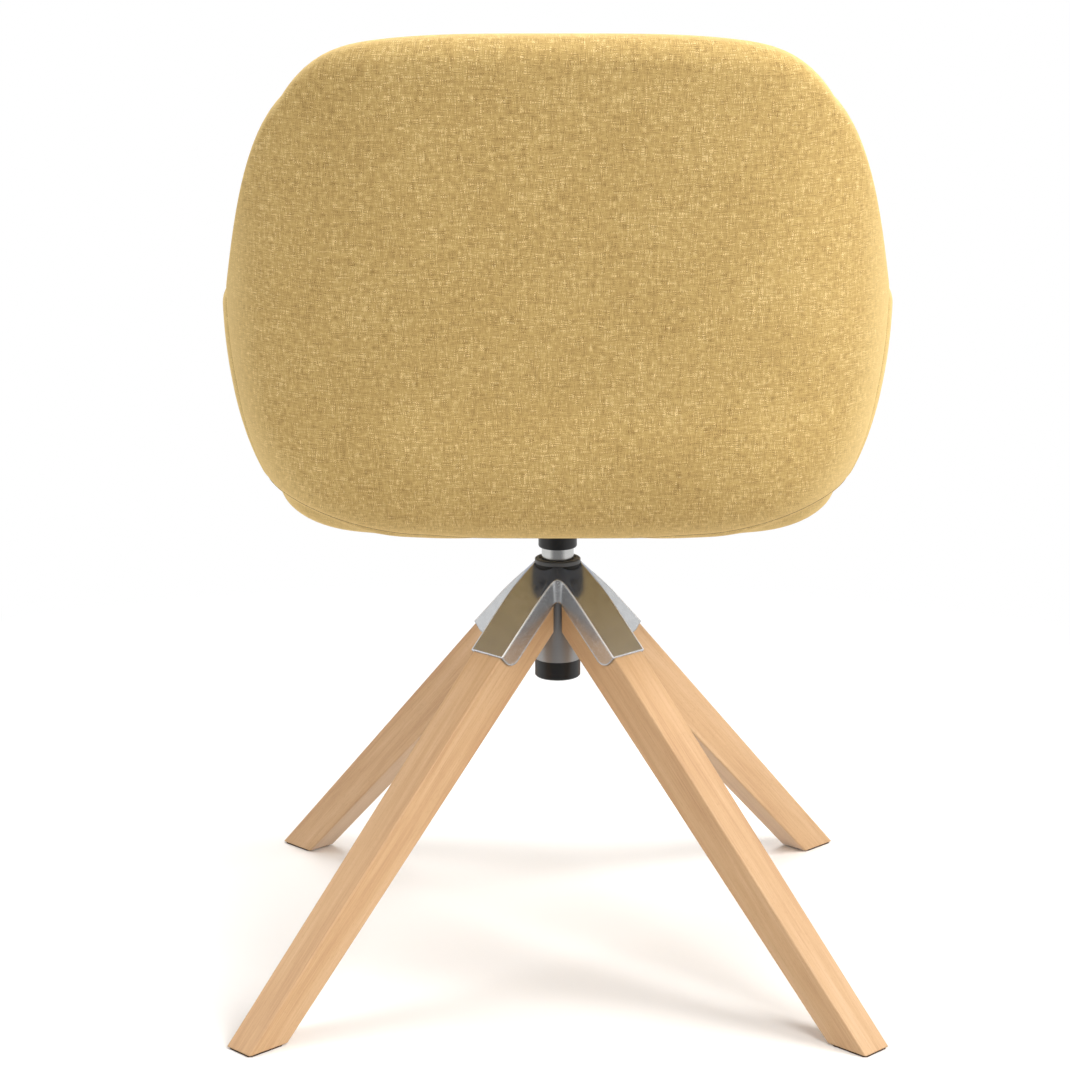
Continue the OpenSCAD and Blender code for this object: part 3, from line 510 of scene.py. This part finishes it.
upholstery, tree, out = new_material("mustard_cloth")
woven = use_group(tree, weave, Cloth=add(tree, "ShaderNodeUVMap", uv_map="cloth").outputs[0])
# Painted sheen: at grazing angles the base colour is lightened toward a pale gold.
grazing = add(tree, "ShaderNodeLayerWeight", {"Blend": 0.5}).outputs["Facing"]
painted_sheen = mask(tree, grazing, 0.42, 0.92, 0, 0.78)
shade(tree, out, Base_Color=blended(tree, painted_sheen, woven["Color"], (0.80, 0.590, 0.26)), Roughness=0.92,
      Normal=relief(tree, woven["Height"], 0.55, 0.00035), Specular_IOR_Level=0.15,
      Specular_Tint=(1.0, 0.80, 0.52, 1), Sheen_Weight=0.18, Sheen_Roughness=0.4,
      Sheen_Tint=(1.0, 0.80, 0.50, 1))


def lengths(grid, axis):
    """How far each point of a grid lies along its row or column."""
    steps = np.linalg.norm(np.diff(grid, axis=axis), axis=-1)
    zero = np.zeros_like(np.take(steps, [0], axis=axis))
    return np.concatenate([zero, np.cumsum(steps, axis=axis)], axis=axis)


def finish_panel(name, mesh, node_name, smooth_faces=True):
    for polygon in mesh.polygons:
        polygon.use_smooth = smooth_faces
    piece = bpy.data.objects.new(name, mesh)
    bpy.context.scene.collection.objects.link(piece)
    mesh.materials.append(upholstery)
    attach(piece, "seat")
    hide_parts(node_name)


def march_over_rim(ring, u, v, start, stop):
    """Lays the cloth's coordinates over a rim, row by row, by how each step heads across the row."""
    way = 1 if stop > start else -1
    lean = np.arctan2(np.gradient(v[:, start]), np.gradient(u[:, start]))
    for row in range(start, stop, way):
        step = ring[:, row + way] - ring[:, row]
        length = np.linalg.norm(step, axis=1)
        beside = np.gradient(ring[:, row], axis=0)
        between_them = (step * beside).sum(axis=1) / (length * np.linalg.norm(beside, axis=1) + 1e-9)
        heading = lean + way * np.arccos(np.clip(between_them, -1, 1))
        u[:, row + way] = u[:, row] + length * np.cos(heading)
        v[:, row + way] = v[:, row] + length * np.sin(heading)


def band(name, node_name, grid, closed, level_row, upward=1, rim_rows=None):
    """Joins closed sections into a skin of quads, whose cloth coordinates keep its true lengths.

    They start at the height of the level row, run round each section, and run level from one section
    to the next. Upward is -1 where the rows lead down the face that shows.
    """
    columns, count = grid.shape[:2]
    wrapped = np.concatenate([grid, grid[:1]]) if closed else grid
    ring = np.concatenate([wrapped, wrapped[:, :1]], axis=1)
    v = lengths(ring, 1)
    height = wrapped[:, level_row, 2:] - wrapped[len(wrapped) // 2, level_row, 2]
    v = v - v[:, level_row][:, None] + upward * height
    apart = np.linalg.norm(np.diff(ring, axis=0), axis=-1)
    level = np.sqrt(np.maximum(apart ** 2 - np.diff(v, axis=0) ** 2, (0.2 * apart) ** 2))
    u = np.concatenate([0 * level[:1], np.cumsum(level, axis=0)])
    u = u - u[len(u) // 2][None, :]
    if rim_rows:
        march_over_rim(ring, u, v, *rim_rows)
    faces, uvs = [], []
    for i in range(wrapped.shape[0] - 1):
        for j in range(count):
            corners = ((i, j), (i + 1, j), (i + 1, j + 1), (i, j + 1))
            faces.append([(a % columns) * count + b % count for a, b in corners])
            uvs.extend((u[a, b], v[a, b]) for a, b in corners)
    if not closed:
        for i in (0, columns - 1):
            turn = range(count) if i == 0 else range(count - 1, -1, -1)
            faces.append([i * count + b for b in turn])
            uvs.extend((u[i, b], v[i, b]) for b in turn)
    mesh = bpy.data.meshes.new(name)
    mesh.from_pydata((grid.reshape(-1, 3) * 0.001).tolist(), [], faces)
    layer = mesh.uv_layers.new(name="cloth")
    layer.data.foreach_set("uv", (np.array(uvs) * 0.001).ravel())
    finish_panel(name, mesh, node_name)


def panel_angles(first, last, count):
    """Angles from one side seam to the other, closer together beside the seams."""
    beside_seam = 3.4
    return np.concatenate([np.linspace(first, first + beside_seam, 7)[:-1],
                           np.linspace(first + beside_seam, last - beside_seam, count),
                           np.linspace(last - beside_seam, last, 7)[1:]])


def wall_panel(name, node_name, angles):
    """An outer cover from the lower seam over the crest, drawn in along its seams."""
    rows, mean_radius = 44, 270
    crown, crown_reach = 0.5, 60
    low_draw, seam_draw = 1.0, 1.8
    panel_depth = 7.5
    a = np.where(angles > 180, angles - 360, angles)[:, None]
    hem = seam_rise(a) + SEAM_HALF_GAP
    rise = hem + (crest(a) - CREST_RADIUS - hem) * np.linspace(0, 1, rows)[None, :] ** 1.8
    from_side = np.abs(np.abs(a) - SEAM_ANGLE) * np.radians(1) * mean_radius
    side_draw = seam_draw * near(from_side, 5.0)
    side_crown = crown * smooth(from_side / crown_reach)
    wall_draw = low_draw * near(rise - hem, 3.5) + side_draw
    outer = skin(a, rise, wall_draw - side_crown * smooth((rise - hem) / crown_reach))
    turns = np.concatenate([np.linspace(8, 90, 11), [94, 98, 101, CREST_SEAM_TURN]])[None, :]
    crest_draw = seam_draw * near((CREST_SEAM_TURN - turns) * CREST_DEGREE, 3.5) + side_draw
    rim = over_crest(a, turns, crest_draw - side_crown * np.cos(np.radians(np.minimum(turns, 90))))
    rim_inside = over_crest(a, turns, RIM_DEPTH)
    inside = skin(a, rise, panel_depth)
    grid = np.concatenate([outer, rim, rim_inside[:, ::-1], inside[:, ::-1]], axis=1)
    band(name, node_name, grid, closed=False, level_row=20,
         rim_rows=(rows - 1, rows + turns.size - 1))


wall_panel("back_panel", "back_cover", panel_angles(0.1 - SEAM_ANGLE, SEAM_ANGLE - 0.1, 97))

# Arm and front panel
# The outer cover of both arms and the front edge, one piece of cloth from side seam to side seam.
wall_panel("arm_panel", "front_cover", panel_angles(SEAM_ANGLE + 0.1, 360 - SEAM_ANGLE - 0.1, 121))

# Seat pan panel
# The band of cloth below the lower seam, rounder than the shell above it, that turns in under the
# seat, where it is stapled to the board.
PAN_SEAM_DRAW = 1.2
PAN_TUCK, PAN_TUCK_FROM, PAN_TUCK_TURN, PAN_TUCK_BELOW = 4.2, 42, 14, 8
PAN_DEPTH = 8.5

ring_angles = np.arange(-180, 180, 2.0)
a = ring_angles[:, None]
hem = seam_rise(a) - SEAM_HALF_GAP
rise = hem * np.concatenate([np.linspace(0, 0.8, 15) ** 1.4, [0.85, 0.9, 0.94, 0.97, 1.0]])[None, :]
below = hem - rise
at_sides = smooth((np.abs(a) - PAN_TUCK_FROM) / PAN_TUCK_TURN)
tuck = PAN_TUCK * at_sides * smooth(below / PAN_TUCK_BELOW) * near(below - PAN_TUCK_BELOW, 9)
pan_outer = skin(a, rise, PAN_SEAM_DRAW * near(below, 3.0) + tuck)
pan_inner = skin(a, rise, PAN_DEPTH)
band("pan_panel", "pan_cover", np.concatenate([pan_outer, pan_inner[:, ::-1]], axis=1),
     closed=True, level_row=0)

# Seam threads
# Brown thread of three plies that shows between the panels: once round above the seat pan, up both
# sides and over the crest, and round the crest where the lining begins.
THREAD_RADIUS = 0.75
THREAD_DEPTH = 2.3
LOW_THREAD_DEPTH = 1.6

sewing, tree, out = new_material("brown_thread")
laid = add(tree, "ShaderNodeUVMap", uv_map="cloth").outputs[0]
plies = add(tree, "ShaderNodeTexWave", {
    "Vector": laid, "Scale": 260.0, "Distortion": 1.2, "Detail": 2.0}, bands_direction="DIAGONAL").outputs[1]
twist = between(tree, 0.4, plies, noise(tree, laid, 1500))
shade(tree, out, Base_Color=ramp(tree, twist, (0.25, (0.10, 0.056, 0.020)), (0.75, (0.25, 0.150, 0.056))),
      Roughness=0.85, Normal=relief(tree, plies, 0.7, 0.0003), Specular_IOR_Level=0.25)


def cord(name, runs, radius, finish, sides=6):
    """Thread or piping along runs of points, each given with whether it closes on itself."""
    verts, faces, uvs = [], [], []
    for path, closed in runs:
        count, first = len(path), len(verts)
        ahead = np.roll(path, -1, axis=0) - np.roll(path, 1, axis=0)
        if not closed:
            ahead[0], ahead[-1] = path[1] - path[0], path[-1] - path[-2]
        ahead /= np.linalg.norm(ahead, axis=1)[:, None]
        across = np.cross(ahead[0], (0.3, 0.2, 0.93))
        gone = lengths(path, 0)
        for k in range(count):
            across = across - np.dot(across, ahead[k]) * ahead[k]
            across /= np.linalg.norm(across)
            up = np.cross(ahead[k], across)
            for j in range(sides):
                t = 2 * math.pi * j / sides
                verts.append((path[k] + radius * (math.cos(t) * across + math.sin(t) * up)) * 0.001)
        for k in range(count if closed else count - 1):
            for j in range(sides):
                corners = ((k, j), (k, j + 1), (k + 1, j + 1), (k + 1, j))
                faces.append([first + (a % count) * sides + b % sides for a, b in corners])
                uvs.extend((gone[a % count] * 0.001, b * radius * 0.001) for a, b in corners)
        if not closed:
            faces.append([first + j for j in range(sides)][::-1])
            faces.append([first + (count - 1) * sides + j for j in range(sides)])
            uvs.extend([(0, 0)] * (2 * sides))
    mesh = bpy.data.meshes.new(name)
    mesh.from_pydata([tuple(v) for v in verts], [], faces)
    layer = mesh.uv_layers.new(name="cloth")
    layer.data.foreach_set("uv", np.array(uvs, float).ravel())
    for polygon in mesh.polygons:
        polygon.use_smooth = True
    mesh.materials.append(finish)
    piece = bpy.data.objects.new(name, mesh)
    bpy.context.scene.collection.objects.link(piece)
    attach(piece, "seat")


round_about = np.arange(-180, 180, 1.5)
low_run = skin(round_about, seam_rise(round_about), LOW_THREAD_DEPTH)
crest_run = over_crest(round_about, CREST_SEAM_TURN + 0.3, THREAD_DEPTH)
runs = [(low_run, True), (crest_run, True)]
for side in (-SEAM_ANGLE, SEAM_ANGLE):
    start = seam_rise(side) + 1.5
    rise = start + (crest(side) - CREST_RADIUS - start) * np.linspace(0, 1, 60)
    up_the_side = skin(side, rise, THREAD_DEPTH)
    over_the_top = over_crest(side, np.linspace(4, 101, 26), THREAD_DEPTH)
    runs.append((np.concatenate([up_the_side, over_the_top]), False))
cord("seam_threads", runs, THREAD_RADIUS, sewing)

# Inner lining
# Foam-backed cloth on the inside of the back and the arms. It starts at the crest seam, swells a
# little towards the sitter in the lumbar region and tucks in behind the cushion.
LUMBAR_SWELL, LUMBAR_RISE, LUMBAR_REACH = 5.0, 150, 70
LINING_FOOT_RISE = 28.5
LINING_DEPTH = 10
LINING_SEAM_DRAW = 1.8

a = ring_angles[:, None]
seam_turn = CREST_SEAM_TURN + 0.6
turns = np.concatenate([[seam_turn, 105.5, 109], np.linspace(115, 180, 9)])[None, :]
rim = over_crest(a, turns, LINING_SEAM_DRAW * near((turns - seam_turn) * CREST_DEGREE, 3.0))
pad_top = np.maximum(crest(a) - (WALL - CREST_RADIUS), PAD_LEAST_RISE)
share = np.linspace(0.0, 1, 34)[1:][None, :]
rise = pad_top + (LINING_FOOT_RISE - pad_top) * share
lumbar = LUMBAR_SWELL * near(rise - LUMBAR_RISE, LUMBAR_REACH) * smooth((80 - np.abs(a)) / 60)
swell = lumbar + 2.0 * np.sin(np.pi * share) * smooth(pad_top / 120)
inner = placed(a, shell_radius(a, rise) - WALL - swell, UNDERSIDE_Z + rise)
hidden = placed(a, shell_radius(a, rise) - WALL + LINING_DEPTH, UNDERSIDE_Z + rise)
rim_hidden = over_crest(a, turns, RIM_DEPTH)
band("inner_lining", "inner_pad",
     np.concatenate([rim, inner, hidden[:, ::-1], rim_hidden[:, ::-1]], axis=1),
     closed=True, level_row=turns.size, upward=-1, rim_rows=(turns.size, 0))

# Seat cushion
# A loose crowned cushion with a boxed edge. It is remeshed and puffed up by a short cloth simulation,
# whose movement is capped and kept inside the lining, and its seam is pressed in afterwards.
CUSHION_GAP = 1.5
CUSHION_EDGE = ((14, 18.0), (6, 20.5), (2.0, 26.0), (1.0, 34.0), (1.5, 44.0), (4.0, 52.0), (9.0, 57.5))
CUSHION_CROWN = 14.0
CUSHION_SEAM_RISE = 53
CUSHION_SEAM_DEPTH = 2.4
PUFF_LIMIT = 0.009

cushion_angles = np.arange(-180, 180, 3.0)
foot = shell_radius(cushion_angles, PAD_LEAST_RISE) - WALL - CUSHION_GAP
profile = [(foot - inset, rise) for inset, rise in CUSHION_EDGE]
for share in (0.90, 0.78, 0.62, 0.44, 0.24, 0.10):
    profile.append(((foot - 9.0) * share, 58.0 + CUSHION_CROWN * (1 - share ** 2.2)))
grid = np.stack([placed(cushion_angles, radius, UNDERSIDE_Z + height) for radius, height in profile], axis=1)
columns, count = grid.shape[:2]
middle = [[0, 0, UNDERSIDE_Z + 18.0], [0, 0, UNDERSIDE_Z + 72.5]]
neighbours = [(i * count, (i + 1) % columns * count) for i in range(columns)]
faces = [[this + j, after + j, after + j + 1, this + j + 1]
         for this, after in neighbours for j in range(count - 1)]
faces += [[columns * count, after, this] for this, after in neighbours]
faces += [[columns * count + 1, this + count - 1, after + count - 1] for this, after in neighbours]
cushion_mesh = bpy.data.meshes.new("seat_cushion_pad")
cushion_mesh.from_pydata((np.concatenate([grid.reshape(-1, 3), middle]) * 0.001).tolist(), [], faces)
cushion = bpy.data.objects.new("seat_cushion_pad", cushion_mesh)
bpy.context.scene.collection.objects.link(cushion)
bpy.context.view_layer.objects.active = cushion
cushion.select_set(True)
remesh = cushion.modifiers.new("remesh", "REMESH")
remesh.mode = "VOXEL"
remesh.voxel_size = 0.006
bpy.ops.object.modifier_apply(modifier="remesh")
rest = np.array([v.co for v in cushion.data.vertices], float)
puff = cushion.modifiers.new("puff", "CLOTH")
puff.settings.use_pressure = True
puff.settings.uniform_pressure_force = 4.0
puff.settings.effector_weights.gravity = 0.0
puff.settings.tension_stiffness = 20
puff.settings.compression_stiffness = 20
puff.settings.bending_stiffness = 2.0
puff.point_cache.frame_start = 1
puff.point_cache.frame_end = 20
for step in range(1, 21):
    bpy.context.scene.frame_set(step)
bpy.ops.object.modifier_apply(modifier="puff")
bpy.context.scene.frame_set(1)
moved = np.array([v.co for v in cushion.data.vertices], float)
shift = moved - rest
distance = np.linalg.norm(shift, axis=1)
moved = rest + shift * np.minimum(1, PUFF_LIMIT / np.maximum(distance, 1e-9))[:, None]
turn = np.degrees(np.arctan2(moved[:, 0], moved[:, 1]))
radius = np.hypot(moved[:, 0], moved[:, 1]) * 1000
rise = moved[:, 2] * 1000 - UNDERSIDE_Z
lumbar = LUMBAR_SWELL * near(rise - LUMBAR_RISE, LUMBAR_REACH)
limit = shell_radius(turn, np.clip(rise, PAD_LEAST_RISE, 60)) - WALL - 1.2 - lumbar
pressed = CUSHION_SEAM_DEPTH * near(rise - CUSHION_SEAM_RISE, 2.6) * (radius > limit - 40)
kept = np.minimum(radius, limit) - pressed
moved[:, :2] *= (kept / np.maximum(radius, 1e-6))[:, None]
moved[:, 2] = np.clip(moved[:, 2], (UNDERSIDE_Z + 17.8) * 0.001, (UNDERSIDE_Z + 80) * 0.001)
cushion.data.vertices.foreach_set("co", moved.ravel())
cloth_uv = cushion.data.uv_layers.new(name="cloth")
for polygon in cushion.data.polygons:
    flat = abs(polygon.normal.z) > 0.5
    sideways = abs(polygon.normal.x) > abs(polygon.normal.y)
    for loop in polygon.loop_indices:
        x, y, z = moved[cushion.data.loops[loop].vertex_index]
        cloth_uv.data[loop].uv = (x, y) if flat else ((y, z) if sideways else (x, z))
for polygon in cushion.data.polygons:
    polygon.use_smooth = True
subdivide = cushion.modifiers.new("subdivide", "SUBSURF")
subdivide.levels = 1
subdivide.render_levels = 1
bpy.ops.object.modifier_apply(modifier="subdivide")
cushion.data.materials.append(upholstery)
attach(cushion, "seat")
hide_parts("seat_cushion")

# Cushion piping
# A cord covered in the same cloth, sewn into the cushion's seam. It follows the seam as it was
# pressed in, averaged over five steps.
PIPING_RADIUS = 1.9

beside_seam = np.abs(moved[:, 2] * 1000 - UNDERSIDE_Z - CUSHION_SEAM_RISE) < 3.5
seam_radius = []
for angle in ring_angles:
    close_by = np.abs((turn - angle + 180) % 360 - 180) < 3
    seam_radius.append(np.percentile(kept[beside_seam & close_by], 90))
seam_radius = sum(np.roll(seam_radius, k) for k in (-2, -1, 0, 1, 2)) / 5 + 0.2
piping_run = placed(ring_angles, seam_radius, UNDERSIDE_Z + CUSHION_SEAM_RISE)
cord("cushion_piping", [(piping_run, True)], PIPING_RADIUS, upholstery, sides=10)

# Underside panel
# The same cloth, stretched flat over the underside of the seat board, with a hole for each of the
# seat spider's four bolts.
UNDER_LIFT = 0.2
UNDER_THICKNESS = 2.6
UNDER_INSET = 0.8
BOLT_CIRCLE_RADIUS = 76
BOLT_HOLE_RADIUS = 4.6

edge_angles = np.arange(-180, 180, 3.0)
edge = shell_radius(edge_angles, 0) - UNDER_INSET
under_z = UNDERSIDE_Z + UNDER_LIFT
under = bmesh.new()
loops = [[under.verts.new(p) for p in placed(edge_angles, edge, under_z) * 0.001]]
for azimuth in (0, 90, 180, 270):
    bolt = math.radians(azimuth)
    centre = np.array([BOLT_CIRCLE_RADIUS * math.cos(bolt), BOLT_CIRCLE_RADIUS * math.sin(bolt), under_z])
    hole = []
    for t in np.linspace(0, 2 * math.pi, 24, endpoint=False):
        from_centre = [BOLT_HOLE_RADIUS * math.cos(t), BOLT_HOLE_RADIUS * math.sin(t), 0]
        hole.append(under.verts.new((centre + from_centre) * 0.001))
    loops.append(hole)
edges = [under.edges.new((loop[k], loop[(k + 1) % len(loop)])) for loop in loops for k in range(len(loop))]
bmesh.ops.triangle_fill(under, edges=edges, use_beauty=True, use_dissolve=False)
lifted = bmesh.ops.extrude_face_region(under, geom=list(under.faces))
lifted_verts = [g for g in lifted["geom"] if isinstance(g, bmesh.types.BMVert)]
bmesh.ops.translate(under, verts=lifted_verts, vec=(0, 0, UNDER_THICKNESS * 0.001))
bmesh.ops.recalc_face_normals(under, faces=under.faces)
# The extrusion makes its side faces in another order in each run, so all faces are sorted by place.
under.faces.sort(key=lambda face: face.calc_center_median().dot((1, math.pi, 100)))
under_mesh = bpy.data.meshes.new("underside_panel")
under.to_mesh(under_mesh)
under.free()
under_uv = under_mesh.uv_layers.new(name="cloth")
for loop in under_mesh.loops:
    under_uv.data[loop.index].uv = under_mesh.vertices[loop.vertex_index].co[:2]
finish_panel("underside_panel", under_mesh, "underside_cover", smooth_faces=False)

# Floor
# Pale studio paper without an edge in view, plain white to the camera further out and duller where it
# lights the chair from below. Metal mirrors it bright at the sides and dark behind the camera.
FLOOR_REACH = 60
WHITE_CENTRE_X = 0.06

floor_mesh = bpy.data.meshes.new("floor")
corners = [(x * FLOOR_REACH, y * FLOOR_REACH, 0) for x, y in ((-1, -1), (1, -1), (1, 1), (-1, 1))]
floor_mesh.from_pydata(corners, [], [(0, 1, 2, 3)])
floor = bpy.data.objects.new("floor", floor_mesh)
bpy.context.scene.collection.objects.link(floor)
paper, tree, out = new_material("studio_paper")
place = own_place(tree)
ray = add(tree, "ShaderNodeLightPath").outputs
paper_tone = blended(tree, noise(tree, place, 3.0), (0.955, 0.94, 0.92), (0.97, 0.955, 0.935))
paper_tone = blended(tree, ray["Is Diffuse Ray"], paper_tone, (0.81, 0.80, 0.775))
plain_paper = shade(tree, out, Base_Color=paper_tone, Roughness=0.85, Specular_IOR_Level=0.1)
x, y, _ = split(tree, place)
beside = calc(tree, "SUBTRACT", x, WHITE_CENTRE_X)
reach = calc(tree, "SQRT", calc(tree, "MULTIPLY_ADD", beside, beside, times(tree, y, y)))
far_out = mask(tree, times(tree, reach, 0.5), 0.26, 0.64)
white = add(tree, "ShaderNodeEmission", {0: (1, 1, 1, 1), 1: 1.0}).outputs[0]
seen = add(tree, "ShaderNodeMixShader", {
    0: times(tree, ray["Is Camera Ray"], far_out), 1: plain_paper, 2: white}).outputs[0]
behind = ramp(tree, calc(tree, "DIVIDE", y, calc(tree, "ADD", reach, 0.05)),
              (0.50, (0.90, 0.90, 0.90)), (0.86, (0.29, 0.29, 0.295)))
mirrored = add(tree, "ShaderNodeEmission", {0: behind, 1: 1.0}).outputs[0]
whole = add(tree, "ShaderNodeMixShader", {0: ray["Is Glossy Ray"], 1: seen, 2: mirrored}).outputs[0]
tree.links.new(whole, out.inputs[0])
floor_mesh.materials.append(paper)

# Studio light
# A pale room that is dark behind the camera, and white where the camera sees it. A narrowed light
# from the right shapes the shell, and large soft ones over the camera, at the left and above fill it.
world = bpy.data.worlds.new("studio")
bpy.context.scene.world = world
world.use_nodes = True
world.node_tree.nodes.clear()
tree = world.node_tree
_, toward, upward = split(tree, add(tree, "ShaderNodeTexCoord").outputs["Generated"])
dark_part = times(tree, mask(tree, toward, 0.55, 0.90), mask(tree, upward, 0.25, 0.55, 1, 0))
room = blended(tree, dark_part, (0.64, 0.64, 0.65), (0.255, 0.255, 0.26))
ray = add(tree, "ShaderNodeLightPath").outputs
room_light = add(tree, "ShaderNodeBackground", {
    0: room, 1: calc(tree, "MULTIPLY_ADD", ray["Is Diffuse Ray"], -0.4, 1.0)}).outputs[0]
white = add(tree, "ShaderNodeBackground", {0: (1.0, 1.0, 1.0, 1), 1: 1.0}).outputs[0]
sky = add(tree, "ShaderNodeMixShader", {0: ray["Is Camera Ray"], 1: room_light, 2: white}).outputs[0]
add(tree, "ShaderNodeOutputWorld", {0: sky})


def area_light(name, location, target, size, power, tint=(1, 1, 1), spread=180):
    data = bpy.data.lights.new(name, "AREA")
    data.shape = "DISK"
    data.size = size
    data.energy = power
    data.color = tint
    data.spread = math.radians(spread)
    light = bpy.data.objects.new(name, data)
    bpy.context.scene.collection.objects.link(light)
    light.location = location
    aim = np.array(target, float) - np.array(location, float)
    tilt = math.acos(-aim[2] / np.linalg.norm(aim))
    light.rotation_euler = (tilt, 0, math.atan2(aim[1], aim[0]) - math.pi / 2)


area_light("key", (-1.7, 0.6, 1.8), (0, 0, 0.66), 1.2, 15.2, (1.0, 0.985, 0.96), 110)
area_light("front", (-1.5, 2.7, 2.6), (0, 0, 0.5), 1.8, 63)
area_light("left", (2.7, 0.8, 1.9), (0, 0, 0.5), 1.6, 33)
area_light("top", (0.2, -0.6, 3.0), (0, 0, 0.4), 2.2, 49)
bpy.context.scene.view_settings.view_transform = "Standard"
